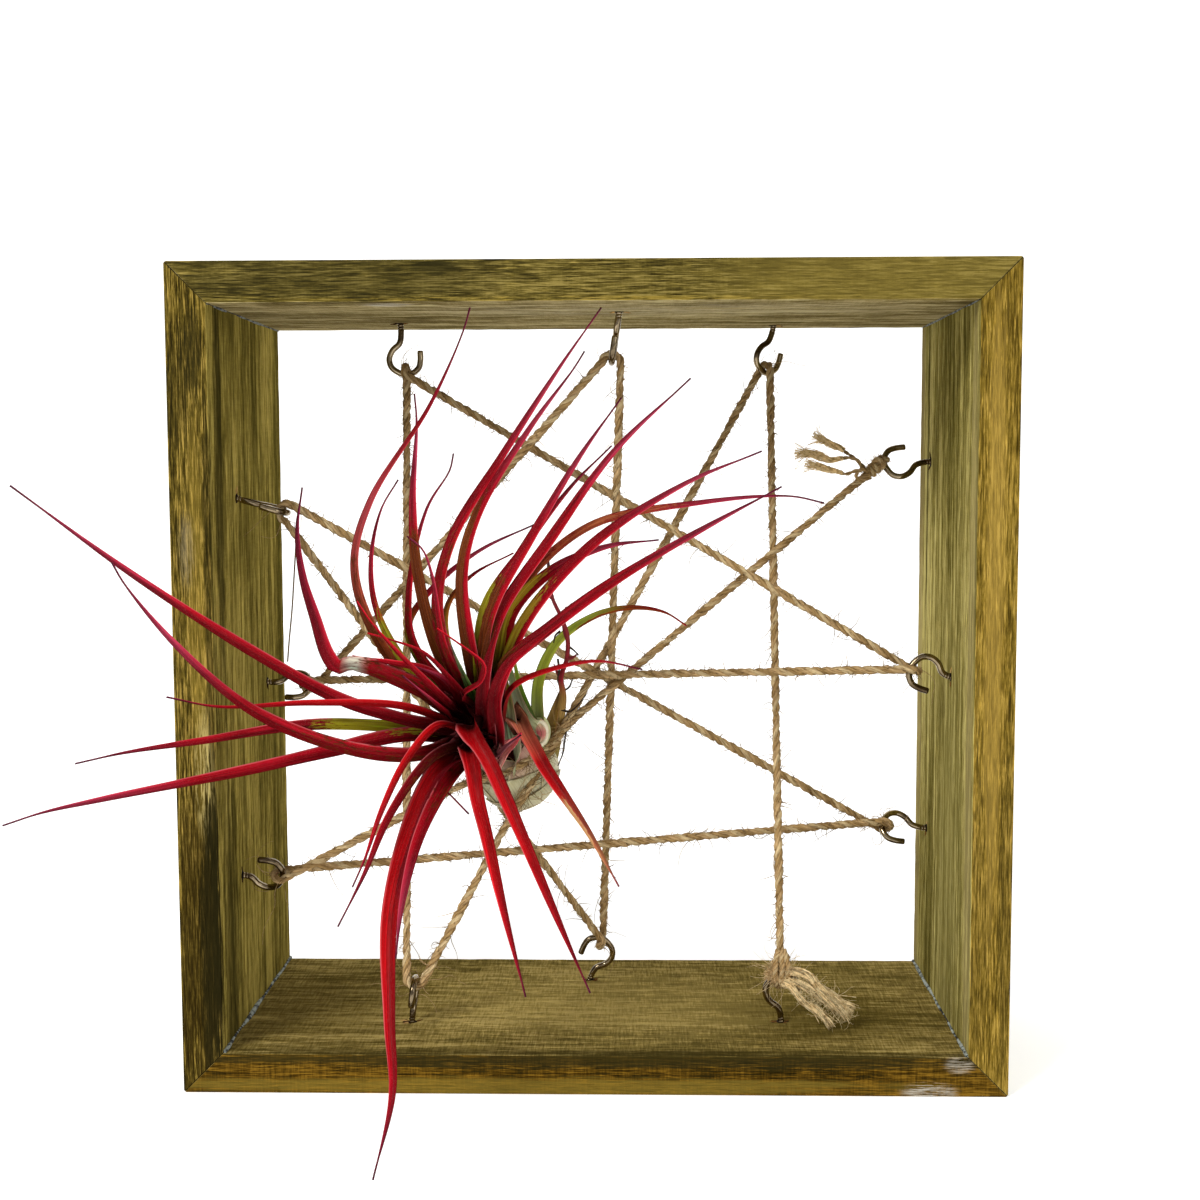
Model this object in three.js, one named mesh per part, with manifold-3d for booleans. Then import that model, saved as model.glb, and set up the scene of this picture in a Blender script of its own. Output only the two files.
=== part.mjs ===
// A red brachycaulos air plant tied by one length of jute twine into a square wooden shadow frame.
// Millimetres, +Z up, +X right and +Y away from the viewer. The origin is the centre of the frame's
// underside, so the frame's front edge faces -Y and the leaves reach out past it.
import * as THREE from "three";
import { mergeVertices } from "three/addons/utils/BufferGeometryUtils.js";
import Module from "manifold-3d";

const wasm = await Module();
wasm.setup();

// Frame of four mitred boards
const FRAME_SIDE = 254;
const FRAME_DEPTH = 96;
const BOARD = 12.4;
const MITRE_GAP = 0.3;

// Screw hooks and the clearance that touching pieces keep
const WIRE_RADIUS = 1.05;
const THREAD_LENGTH = 7;
const CLEARANCE = 0.3;
const PILOT_RADIUS = WIRE_RADIUS + CLEARANCE;
const PILOT_RUN_OUT = 6;

// Jute twine
const TWINE_RADIUS = 1.5;
const TURN_RADIUS = WIRE_RADIUS + TWINE_RADIUS + CLEARANCE;

// Plant: the bulb sits in the web and the leaves open round the heart, in front of it
const BULB = [-27, 8, 91];
const HEART = [-37, -34, 115];
const BLADE_THICKNESS = 0.75;

// Edges left shorter than this where bodies cross are merged away
const SMALLEST_EDGE = 0.02;

const vec = (p) => new THREE.Vector3(...p);

// The place reached from a point by steps, each a direction and a length
function along(at, ...steps) {
  return steps.reduce((p, [direction, length]) => p.addScaledVector(direction, length), at.clone());
}

// Closed solid of a geometry, and back again as the largest body of it
function solidOf(geometry) {
  const bare = geometry.clone();
  bare.deleteAttribute("normal");
  bare.deleteAttribute("uv");
  const merged = mergeVertices(bare, 1e-4);
  return new wasm.Manifold(
    new wasm.Mesh({
      numProp: 3,
      vertProperties: merged.attributes.position.array,
      triVerts: new Uint32Array(merged.index.array),
    }),
  );
}

const union = (solids) => solids.reduce((sum, solid) => sum.add(solid));
const largestBody = (solid) => solid.decompose().reduce((a, b) => (b.volume() > a.volume() ? b : a));

function geometryOf(solid) {
  const mesh = largestBody(solid.simplify(SMALLEST_EDGE)).getMesh();
  return new THREE.BufferGeometry()
    .setAttribute("position", new THREE.BufferAttribute(mesh.vertProperties, 3))
    .setIndex(new THREE.BufferAttribute(mesh.triVerts, 1));
}

// Skin through a row of rings that have equally many points, closed at both ends
function loft(rings) {
  const sides = rings[0].length;
  const triangles = [];
  rings.slice(1).forEach((_, row) => {
    for (let i = 0; i < sides; i += 1) {
      const a = row * sides + i;
      const b = row * sides + ((i + 1) % sides);
      triangles.push(a, b, b + sides, a, b + sides, a + sides);
    }
  });
  const last = (rings.length - 1) * sides;
  for (let i = 1; i < sides - 1; i += 1) triangles.push(0, i + 1, i, last, last + i, last + i + 1);
  const corners = rings.flat().flatMap((p) => [p.x, p.y, p.z]);
  return new THREE.BufferGeometry()
    .setAttribute("position", new THREE.Float32BufferAttribute(corners, 3))
    .setIndex(triangles);
}

// Round rod through points, with its frame carried along without twist
// One radius serves for all of it, or a row of them gives one for each point
function rod(points, radii, sides) {
  const run = points[1].clone().sub(points[0]).normalize();
  const across = Math.abs(run.x) > 0.8 ? new THREE.Vector3(0, 1, 0) : new THREE.Vector3(1, 0, 0);
  const rings = points.map((point, i) => {
    const before = points[Math.max(i - 1, 0)];
    const after = points[Math.min(i + 1, points.length - 1)];
    const tangent = after.clone().sub(before).normalize();
    across.addScaledVector(tangent, -across.dot(tangent)).normalize();
    const up = tangent.clone().cross(across);
    const radius = Array.isArray(radii) ? radii[i] : radii;
    return Array.from({ length: sides }, (_, k) => {
      const turn = (2 * Math.PI * k) / sides;
      return along(point, [across, radius * Math.cos(turn)], [up, radius * Math.sin(turn)]);
    });
  });
  return loft(rings);
}

const curveThrough = (points) => new THREE.CatmullRomCurve3(points, false, "centripetal");

// Hook blanks are bent to one shape: heights out of the wood and sideways places of the wire's centre
const HOOK_BEND = [
  [0, 0],
  [4.1, 0.3],
  [6.8, -0.3],
  [9.2, -2.7],
  [12, -3.8],
  [14.7, -3.1],
  [16.4, -1],
  [17.3, 1.7],
  [16.8, 4.1],
  [15, 6.2],
  [12.7, 6.8],
  [9.2, 6.8],
];
const HOOK_CREST = { height: 17.3, side: 1.7 };
const HOOK_STEPS = 16;
const HOOK_SIDES = 6;

// Where each hook enters the wood, where it points, which way its open end turns and how deep it is sunk
const INSIDE = FRAME_SIDE / 2 - BOARD;
const TOP = FRAME_SIDE - BOARD;
const HOOKS = {
  hook_top_1: { at: [-67, 22, TOP], out: [0, 0, -1], side: [1, 0, 0], sunk: 0 },
  hook_top_2: { at: [8, -15, TOP], out: [-0.15, 0, -1], side: [0, -1, 0], sunk: 1 },
  hook_top_3: { at: [61, 37, TOP], out: [-0.26, 0, -1], side: [0.8, 0.6, 0], sunk: 1 },
  hook_right_1: { at: [INSIDE, 28, 194], out: [-1, 0, -0.12], side: [0, 0.4, 1], sunk: 1.5 },
  hook_right_2: { at: [INSIDE, -12, 125], out: [-1, 0, 0.35], side: [0, 0, -1], sunk: 4 },
  hook_right_3: { at: [INSIDE, 26, 67], out: [-1, 0, 0.15], side: [0, -0.8, -1], sunk: 1.5 },
  hook_bottom_1: { at: [-60, -19, BOARD], out: [0.1, 0, 1], side: [0, -1, 0], sunk: 2 },
  hook_bottom_2: { at: [-3, 25, BOARD], out: [0.42, 0, 1], side: [-1, 0, 0], sunk: 2 },
  hook_bottom_3: { at: [60, -17, BOARD], out: [-0.1, 0, 1], side: [1, 0, 0], sunk: 2 },
  hook_left_1: { at: [-INSIDE, -16, 183], out: [1, 0, -0.27], side: [0, -1, 0], sunk: 0 },
  hook_left_2: { at: [-INSIDE, 21, 119], out: [1, 0, 0], side: [0, -1, -1], sunk: 2 },
  hook_left_3: { at: [-INSIDE, -19, 61], out: [1, 0, -0.1], side: [0, -0.4, 1], sunk: 4 },
};

// A hook's own axes, and a place given in them by its height on the bend and its side
function hookFrame({ at, out, side, sunk }) {
  const outward = vec(out).normalize();
  const sideways = vec(side);
  sideways.addScaledVector(outward, -sideways.dot(outward)).normalize();
  const normal = outward.clone().cross(sideways);
  const place = (height, aside = 0) => along(vec(at), [outward, height - sunk], [sideways, aside]);
  return { outward, normal, place };
}

function hookWire(hook, radius) {
  const { place } = hookFrame(hook);
  const foot = hook.sunk - THREAD_LENGTH;
  const bend = curveThrough(HOOK_BEND.map(([height, aside]) => place(height, aside)));
  return rod([place(foot), ...bend.getSpacedPoints(HOOK_STEPS)], radius, HOOK_SIDES);
}

function pilotHole(hook) {
  const { place } = hookFrame(hook);
  const bottom = place(hook.sunk - THREAD_LENGTH - CLEARANCE);
  return solidOf(rod([bottom, place(hook.sunk + PILOT_RUN_OUT)], PILOT_RADIUS, HOOK_SIDES));
}

// A board lies along the bottom as a trapezium with mitred ends and is turned about the frame's middle
function board(quarterTurn, hookNames) {
  const outer = FRAME_SIDE / 2 - MITRE_GAP / Math.SQRT2;
  const inner = outer - BOARD;
  const outline = new THREE.Shape([
    new THREE.Vector2(-outer, 0),
    new THREE.Vector2(outer, 0),
    new THREE.Vector2(inner, BOARD),
    new THREE.Vector2(-inner, BOARD),
  ]);
  const geometry = new THREE.ExtrudeGeometry(outline, { depth: FRAME_DEPTH, bevelEnabled: false })
    .rotateX(Math.PI / 2)
    .translate(0, FRAME_DEPTH / 2, -FRAME_SIDE / 2)
    .rotateY(quarterTurn * (Math.PI / 2))
    .translate(0, 0, FRAME_SIDE / 2);
  const holes = hookNames.map((name) => pilotHole(HOOKS[name]));
  return geometryOf(holes.reduce((wood, hole) => wood.subtract(hole), solidOf(geometry)));
}

// Points where the twine crosses the front of the bulb
// The first strand is on its way left and the second on its way up
const WRAP_ACROSS = [
  [-8, 0, 109],
  [-16.5, -4, 100.5],
  [-24, -16.5, 97],
  [-32.5, -16.5, 93.5],
  [-42, -14, 90.5],
  [-47, -14, 88],
];
const WRAP_RISING = [
  [-30, -11, 75],
  [-26.5, -10, 81],
  [-21.5, -9, 88.5],
  [-16.5, -4.5, 97],
  [-9, -0.5, 110],
];

// The twine's way from hook to hook; each turn says on which side of the wire the twine arrives
const LACING = [
  { hook: "hook_right_1", knot: true },
  { wrap: WRAP_ACROSS },
  { hook: "hook_left_3", arrives: 1 },
  { hook: "hook_right_3", arrives: 1 },
  { hook: "hook_left_1", arrives: -1 },
  { hook: "hook_bottom_2", arrives: 1 },
  { hook: "hook_top_2", arrives: -1 },
  { hook: "hook_left_2", arrives: 1 },
  { hook: "hook_right_2", arrives: 1 },
  { hook: "hook_top_1", arrives: 1 },
  { hook: "hook_bottom_1", arrives: -1 },
  { wrap: WRAP_RISING },
  { hook: "hook_top_3", arrives: -1 },
  { hook: "hook_bottom_3", knot: true },
];
const TWINE_SIDES = 8;
const TAIL_SIDES = 6;
const KNOT_OUT = 1.5;

// Half a turn round the inside of a hook's bend, from the side where the twine arrives
function hookTurn({ hook, arrives }) {
  const { outward, normal, place } = hookFrame(HOOKS[hook]);
  const wire = place(HOOK_CREST.height, HOOK_CREST.side);
  return [0, 30, 60, 90, 120, 150, 180].map((degrees) => {
    const turn = THREE.MathUtils.degToRad(degrees);
    const aside = arrives * TURN_RADIUS * Math.cos(turn);
    return along(wire, [normal, aside], [outward, -TURN_RADIUS * Math.sin(turn)]);
  });
}

function knotCentre(hook) {
  return hookFrame(HOOKS[hook]).place(HOOK_CREST.height + KNOT_OUT, HOOK_CREST.side);
}

function twineRoute() {
  return LACING.map((stop) => {
    if (stop.knot) return [knotCentre(stop.hook)];
    return stop.wrap ? stop.wrap.map(vec) : hookTurn(stop);
  });
}

function knot(hook, squash, tails) {
  const centre = knotCentre(hook);
  const ball = new THREE.IcosahedronGeometry(1, 1).scale(...squash).translate(...centre.toArray());
  const ends = tails.map(({ path, radii }) => {
    const points = [centre, ...path.map(vec)];
    return solidOf(rod(points, radii, TAIL_SIDES));
  });
  return union([solidOf(ball), ...ends]);
}

// Every strand runs from the middle of one turn to the middle of the next
function strands(radius) {
  const route = twineRoute();
  return route.slice(1).map((turn, i) => {
    const leaving = route[i].slice(Math.floor(route[i].length / 2));
    const arriving = turn.slice(0, Math.floor(turn.length / 2) + 1);
    return solidOf(rod([...leaving, ...arriving], radius, TWINE_SIDES));
  });
}

function twine() {
  const frayed = [
    knot("hook_right_1", [4, 3.6, 3.6], [
      { path: [[88, 27, 192], [81, 27, 197], [71, 27, 202]], radii: [1.2, 1.1, 1.1, 2.2] },
      { path: [[86, 26, 192], [79, 25, 194], [68, 24, 196]], radii: [1.2, 1, 1, 2] },
      { path: [[86, 25, 190], [80, 24, 189], [70, 23, 191]], radii: [1.2, 1, 1, 2] },
    ]),
    knot("hook_bottom_3", [3.8, 3.6, 5], [
      { path: [[65, -19, 27], [73, -22, 22], [82, -25, 18]], radii: [2, 2.6, 3, 4] },
    ]),
  ];
  const held = union([...strands(TWINE_RADIUS), ...frayed]);
  const clear = Object.values(HOOKS).map((hook) => solidOf(hookWire(hook, WIRE_RADIUS + CLEARANCE)));
  return geometryOf(clear.reduce((rest, wire) => rest.subtract(wire), held));
}

// The plant's stem axis runs from the bulb to the heart
const STEM = vec(HEART).sub(vec(BULB));
const STEM_LENGTH = STEM.length();
const STEM_AXIS = STEM.clone().normalize();

// A place by its distance from the bulb along the stem, and by its offset from the stem towards a side
function onStem(distance, towards, offset) {
  return along(vec(BULB), [STEM_AXIS, distance], [towards, offset]);
}

function sideOf(point) {
  const arm = point.clone().sub(vec(BULB));
  return arm.addScaledVector(STEM_AXIS, -arm.dot(STEM_AXIS)).normalize();
}

// Blade with a channel along the face that looks the given way
// widthAt and channelAt give the width and the channel's depth from the share of the length
function blade({ points, widthAt, channelAt, thickness, lift = 0, steps, face: facing }) {
  const curve = curveThrough(points);
  const rings = Array.from({ length: steps + 1 }, (_, i) => {
    const share = i / steps;
    const point = curve.getPointAt(share);
    const tangent = curve.getTangentAt(share);
    const face = facing.clone().addScaledVector(tangent, -facing.dot(tangent)).normalize();
    const across = tangent.clone().cross(face);
    const half = widthAt(share) / 2;
    const rise = channelAt(share);
    const spot = (aside, up) => along(point, [across, aside], [face, up + lift]);
    return [
      spot(half, rise),
      spot(half, rise - thickness),
      spot(0, -thickness),
      spot(-half, rise - thickness),
      spot(-half, rise),
      spot(0, 0),
    ];
  });
  return loft(rings);
}

// Leaves by their width and the places they pass, from where they leave the heart to the tip
const LEAVES = {
  rising: [
    {
      width: 3.6,
      path: [
        [-57, -30, 125], [-69, -38, 146], [-72, -43, 164], [-66, -47, 183], [-48, -48, 211],
        [-38, -47, 233], [-36, -46, 240],
      ],
    },
    {
      width: 3.2,
      path: [[-57, -33, 130], [-66, -41, 150], [-67, -43, 165], [-64, -42, 180], [-59, -40, 189]],
    },
    {
      width: 4.6,
      path: [[-48, -35, 137], [-53, -43, 162], [-54, -44, 182], [-53, -41, 206], [-54, -38, 215]],
    },
    {
      width: 3,
      path: [[-56, -29, 137], [-57, -33, 154], [-51, -35, 180], [-44, -33, 192], [-43, -32, 197]],
    },
    {
      width: 4.4,
      path: [
        [-45, -35, 135], [-47, -41, 152], [-42, -45, 171], [-27, -49, 195], [-8, -48, 224],
        [3, -44, 240],
      ],
    },
    {
      width: 5,
      path: [
        [-38, -37, 138], [-39, -45, 160], [-34, -50, 178], [-18, -51, 204], [-5, -48, 222],
        [-2, -46, 227],
      ],
    },
    {
      width: 3.4,
      path: [[-55, -24, 132], [-58, -27, 143], [-50, -30, 155], [-35, -33, 167], [-16, -36, 176]],
    },
    { width: 3, path: [[-46, -23, 135], [-46, -26, 149], [-38, -28, 159], [-25, -28, 166]] },
    { width: 2.8, path: [[-45, -42, 138], [-48, -47, 160], [-51, -46, 168], [-56, -44, 172]] },
  ],
  right: [
    {
      width: 4.8,
      path: [[-33, -38, 137], [-29, -46, 152], [-17, -52, 173], [-3, -54, 196], [9, -52, 213]],
    },
    {
      width: 4.2,
      path: [[-35, -35, 135], [-32, -41, 151], [-19, -46, 170], [-5, -48, 188], [6, -46, 199]],
    },
    {
      width: 5,
      path: [[-32, -39, 133], [-27, -46, 149], [-12, -54, 171], [7, -61, 197], [29, -62, 218]],
    },
    {
      width: 6,
      path: [[-28, -33, 134], [-24, -40, 149], [-11, -46, 162], [5, -49, 169], [20, -50, 171]],
    },
    {
      width: 4,
      path: [
        [-29, -33, 141], [-20, -39, 158], [0, -46, 175], [32, -53, 182], [58, -57, 184],
        [68, -58, 182],
      ],
    },
    {
      width: 5,
      path: [[-26, -37, 133], [-18, -45, 149], [2, -56, 171], [28, -64, 188], [49, -68, 197]],
    },
    {
      width: 5.4,
      path: [[-26, -43, 132], [-13, -53, 144], [8, -64, 160], [34, -73, 176], [54, -76, 187]],
    },
    { width: 2.8, path: [[-24, -46, 126], [-10, -61, 134], [3, -69, 137], [15, -72, 135]] },
  ],
  left: [
    {
      width: 4.4,
      path: [[-58, -40, 115], [-76, -50, 123], [-98, -61, 138], [-130, -76, 163], [-159, -88, 188]],
    },
    {
      width: 5,
      path: [
        [-56, -46, 105], [-76, -60, 111], [-97, -75, 124], [-115, -86, 144], [-127, -91, 161],
        [-130, -92, 167],
      ],
    },
    { width: 3.2, path: [[-57, -51, 121], [-82, -64, 124], [-107, -71, 124], [-122, -72, 127]] },
    {
      width: 4.4,
      path: [
        [-60, -36, 112], [-86, -49, 115], [-115, -59, 112], [-138, -63, 109],
        [-152, -64, 106],
      ],
    },
    {
      width: 5.2,
      path: [
        [-59, -39, 110], [-80, -51, 107], [-104, -62, 103], [-140, -77, 98], [-156, -81, 95],
        [-166, -84, 92],
      ],
    },
  ],
  drooping: [
    {
      width: 3.8,
      path: [[-46, -50, 115], [-54, -64, 107], [-60, -74, 94], [-64, -78, 82], [-68, -78, 73]],
    },
    { width: 3.8, path: [[-49, -46, 104], [-59, -64, 91], [-65, -75, 76], [-72, -80, 62]] },
    {
      width: 7,
      path: [
        [-47, -48, 100], [-54, -63, 83], [-57, -78, 65], [-55, -95, 40], [-53, -105, 23],
        [-57, -115, 3.5],
      ],
    },
    { width: 5.6, path: [[-44, -52, 97], [-50, -69, 85], [-53, -84, 69], [-54, -90, 56]] },
    { width: 5.2, path: [[-36, -45, 100], [-31, -58, 82], [-25, -67, 61], [-19, -72, 39]] },
    { width: 5, path: [[-33, -48, 104], [-21, -64, 84], [-9, -75, 62], [0, -80, 43]] },
    { width: 3.8, path: [[-22, -27, 110], [-11, -38, 96], [-2, -47, 83], [8, -54, 67]] },
    { width: 1.6, path: [[-46, -49, 97], [-42, -53, 94], [-37, -54, 89]] },
  ],
  inner: [
    {
      width: 2.4,
      path: [[-39, -45, 124], [-33, -51, 129], [-32, -54, 134], [-37, -56, 139], [-46, -54, 145]],
    },
    { width: 2.2, path: [[-43, -47, 129], [-50, -55, 138], [-59, -58, 142], [-66, -58, 144]] },
    { width: 2.8, path: [[-48, -51, 127], [-57, -61, 139], [-64, -64, 148], [-68, -64, 154]] },
    {
      width: 6.4,
      path: [
        [-52, -45, 125], [-66, -55, 133], [-75, -59, 137], [-79, -63, 147], [-84, -65, 164],
        [-83, -62, 187],
      ],
    },
    { width: 4.8, path: [[-50, -46, 131], [-62, -54, 135], [-71, -56, 137]] },
    { width: 3, path: [[-40, -35, 128], [-44, -36, 138]] },
    { width: 3.6, path: [[-46, -49, 130], [-54, -54, 134]] },
    { width: 2.4, path: [[-48, -51, 123], [-56, -56, 131]] },
    { width: 3, path: [[-29, -43, 105], [-26, -44, 108], [-22, -42, 111]] },
  ],
};
const LEAF_STEP = 10;
const TIP_WIDTH = 0.8;
const CHANNEL = 0.22;
const SHEATH_BACK = 14;
const SHEATH_START = 10;
const SHEATH_OFFSET = 5;

// Blade that narrows slowly at first and runs out to a fine point
function taperedBlade({ points, width, thickness, lift }) {
  const steps = Math.max(4, Math.round(curveThrough(points).getLength() / LEAF_STEP));
  const widthAt = (share) => Math.max(width * (1 - share ** 2), TIP_WIDTH);
  const channelAt = (share) => CHANNEL * widthAt(share);
  return solidOf(blade({ points, widthAt, channelAt, thickness, lift, steps, face: STEM_AXIS }));
}

// A leaf starts as a sheath inside the stem and leaves it beside the heart
function leaf({ width, path }) {
  const places = path.map(vec);
  const reach = Math.min(places[0].clone().sub(vec(BULB)).dot(STEM_AXIS), STEM_LENGTH) - SHEATH_BACK;
  const root = onStem(Math.max(reach, SHEATH_START), sideOf(places[0]), SHEATH_OFFSET);
  return taperedBlade({ points: [root, ...places], width, thickness: BLADE_THICKNESS, lift: 0 });
}

// Stem and bulb as one turned form, hollowed a little at the heart, and the sheaths that wrap the bulb
const STEM_PROFILE = [
  [0, -13],
  [5, -12],
  [10, -8],
  [13, -2],
  [13.2, 5],
  [11.5, 13],
  [9.5, 22],
  [8, 32],
  [7.6, 38],
  [4, 37.4],
  [0, 37],
];
const STEM_SIDES = 14;
const SHEATHS = 6;
const SHEATH_THICKNESS = 2.6;
const SHEATH_LIFTS = [0.4, 0.9];
const SHEATH_WIDTH = { foot: 4, belly: 12 };
const SHEATH_PROFILE = [
  [8, -11],
  [12.6, -4],
  [13.4, 5],
  [11.8, 14],
  [9.6, 24],
];

function stem() {
  const profile = STEM_PROFILE.map(([radius, height]) => new THREE.Vector2(radius, height));
  const turned = new THREE.LatheGeometry(profile, STEM_SIDES);
  const upright = new THREE.Quaternion().setFromUnitVectors(new THREE.Vector3(0, 1, 0), STEM_AXIS);
  return solidOf(turned.applyQuaternion(upright).translate(...BULB));
}

function sheath(number) {
  const upright = new THREE.Quaternion().setFromUnitVectors(new THREE.Vector3(0, 0, 1), STEM_AXIS);
  const turn = (2 * Math.PI * number) / SHEATHS;
  const towards = new THREE.Vector3(Math.cos(turn), Math.sin(turn), 0).applyQuaternion(upright);
  const lift = SHEATH_LIFTS[number % SHEATH_LIFTS.length];
  const points = SHEATH_PROFILE.map(([radius, distance]) => onStem(distance, towards, radius + lift));
  const { foot, belly } = SHEATH_WIDTH;
  const widthAt = (share) => foot + belly * Math.sin(Math.PI * Math.min(0.95, 0.2 + 0.62 * share));
  const channelAt = (share) => -(widthAt(share) ** 2) / 100;
  const thickness = SHEATH_THICKNESS;
  return solidOf(blade({ points, widthAt, channelAt, thickness, steps: 6, face: towards }));
}

// A pup grows beside the stem: a small bulb with a few leaves of its own
const PUP_BULB = { at: [-18.5, -6, 105.5], size: [3.6, 3.6, 4.8] };
const PUP_LEAVES = [
  {
    width: 4.2,
    path: [
      [-18, -10, 123], [-12, -13, 136], [0, -17, 145], [11, -20, 148], [22, -23, 147],
      [29, -26, 143],
    ],
  },
  { width: 2.6, path: [[-24, -13, 121], [-27, -16, 137]] },
  { width: 3.2, path: [[-27, -19, 121], [-30, -20, 134]] },
];

// The pup grown by a margin is also the room that the rosette leaves round it
function pup(margin) {
  const { at, size } = PUP_BULB;
  const halves = size.map((half) => half + margin);
  const bulb = new THREE.IcosahedronGeometry(1, 1).scale(...halves).translate(...at);
  const leaves = PUP_LEAVES.map(({ width, path }) =>
    taperedBlade({
      points: [at, ...path].map(vec),
      width: width + 2 * margin,
      thickness: BLADE_THICKNESS + 2 * margin,
      lift: margin,
    }),
  );
  return union([solidOf(bulb), ...leaves]);
}

// Dried flower stalk: the papery foot stands in the bulb's side, and the thin stalk goes on above it
const STALK = [
  { at: [-17, 9, 87], radius: 1.6 },
  { at: [-15, 8, 95.3], radius: 1.9 },
  { at: [-13.8, 5.5, 102.3], radius: 2 },
  { at: [-12.1, 0, 111], radius: 1.9 },
  { at: [-10.7, -7, 118.4], radius: 1.4 },
  { at: [-11.1, -12, 124.6], radius: 0.9 },
  { at: [-8.9, -17, 131.7], radius: 0.8 },
  { at: [-8.7, -21, 139.5], radius: 0.8 },
  { at: [-10.8, -24, 146.2], radius: 0.7 },
  { at: [-13.2, -25, 152], radius: 0.6 },
  { at: [-14.4, -26, 163.7], radius: 0.5 },
];

const STALK_SIDES = 7;

function stalk(margin) {
  const radii = STALK.map(({ radius }) => radius + margin);
  return solidOf(rod(STALK.map(({ at }) => vec(at)), radii, STALK_SIDES));
}

function withoutTwine(solid) {
  return strands(TWINE_RADIUS + CLEARANCE).reduce((rest, strand) => rest.subtract(strand), solid);
}

function rosette() {
  const leaves = Object.values(LEAVES).flat().map(leaf);
  const sheaths = Array.from({ length: SHEATHS }, (_, number) => sheath(number));
  const plant = withoutTwine(union([stem(), ...sheaths, ...leaves]));
  return geometryOf(plant.subtract(pup(CLEARANCE)).subtract(stalk(CLEARANCE)));
}

const WOOD = new THREE.MeshStandardMaterial({ color: 0x7a6a34, roughness: 0.75 });
const METAL = new THREE.MeshStandardMaterial({ color: 0x6e6250, roughness: 0.3, metalness: 1 });
const JUTE = new THREE.MeshStandardMaterial({ color: 0xb49468, roughness: 0.95 });
const LEAF_GREEN = new THREE.MeshStandardMaterial({ color: 0x7c9a3a, roughness: 0.5 });
const STRAW = new THREE.MeshStandardMaterial({ color: 0xa8905a, roughness: 0.85 });
const LEAF_RED = new THREE.MeshStandardMaterial({ color: 0xa3121f, roughness: 0.5 });

const object = new THREE.Group();

function addNode(name, geometry, material) {
  const mesh = new THREE.Mesh(geometry, material);
  mesh.name = name;
  object.add(mesh);
}

const hooksOf = (side) => Object.keys(HOOKS).filter((name) => name.includes(side));
["bottom", "left", "top", "right"].forEach((side, quarterTurn) => {
  addNode(`board_${side}`, board(quarterTurn, hooksOf(side)), WOOD);
});
Object.entries(HOOKS).forEach(([name, hook]) => {
  addNode(name, hookWire(hook, WIRE_RADIUS), METAL);
});
addNode("twine", twine(), JUTE);
addNode("rosette", rosette(), LEAF_RED);
addNode("pup", geometryOf(withoutTwine(pup(0)).subtract(stalk(CLEARANCE))), LEAF_GREEN);
addNode("flower_stalk", geometryOf(withoutTwine(stalk(0))), STRAW);

export default object;
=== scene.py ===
import math
import random

import bpy
import numpy as np
from mathutils import Matrix, Vector


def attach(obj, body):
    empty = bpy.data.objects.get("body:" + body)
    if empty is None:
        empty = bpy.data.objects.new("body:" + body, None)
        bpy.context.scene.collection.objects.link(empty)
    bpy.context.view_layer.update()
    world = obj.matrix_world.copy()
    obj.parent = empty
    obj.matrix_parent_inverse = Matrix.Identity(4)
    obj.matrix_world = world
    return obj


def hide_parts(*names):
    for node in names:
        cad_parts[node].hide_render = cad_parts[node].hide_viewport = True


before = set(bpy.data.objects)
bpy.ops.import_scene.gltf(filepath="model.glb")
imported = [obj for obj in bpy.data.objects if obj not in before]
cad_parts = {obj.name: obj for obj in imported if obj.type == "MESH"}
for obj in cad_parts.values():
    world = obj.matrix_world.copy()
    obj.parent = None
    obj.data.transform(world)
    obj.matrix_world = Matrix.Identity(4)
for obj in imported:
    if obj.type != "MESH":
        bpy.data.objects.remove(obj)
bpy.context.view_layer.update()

MM = 0.001
CHANCE = random.Random(11)
ALONG_X, ALONG_Y, ALONG_Z = np.eye(3)


def rgb(code):
    """Linear colour of a six-digit sRGB code."""
    parts = [int(code[i : i + 2], 16) / 255 for i in (0, 2, 4)]
    return np.array([c / 12.92 if c <= 0.04045 else ((c + 0.055) / 1.055) ** 2.4 for c in parts])


def tones(codes):
    """The colours of several codes with spaces between them."""
    return [rgb(code) for code in codes.split()]


def unit(v):
    v = np.asarray(v, float)
    return v / np.linalg.norm(v)


def across(v, direction):
    """What of v is square to a unit direction, as a unit vector."""
    return unit(np.asarray(v, float) - np.dot(v, direction) * direction)


def toward(a, b, share):
    """A value that lies a share of the way from one to another."""
    return a + (b - a) * share


def ramped(value, start, run):
    """Nothing up to the start, then evenly up to one over the run."""
    return np.clip((value - start) / run, 0, 1)


def fading(distance, reach):
    """One at no distance, fading smoothly to almost nothing at twice the reach."""
    return np.exp(-((distance / reach) ** 2))


def circle(count):
    """Angles evenly spaced round a full turn."""
    return np.linspace(0, 2 * math.pi, count, endpoint=False)


def turned(side, up, turn):
    """Directions at the given angles from one side direction towards the other."""
    return side * np.cos(turn)[:, None] + up * np.sin(turn)[:, None]


def draws(count, low, high):
    """Random numbers between two limits."""
    return np.array([CHANCE.uniform(low, high) for _ in range(count)])


def scattered(middle=(0, 0, 0), spread=(1, 1, 1)):
    """A random vector round a middle one."""
    return np.array([CHANCE.gauss(m, s) for m, s in zip(middle, spread)])


# Curves and skins


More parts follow.
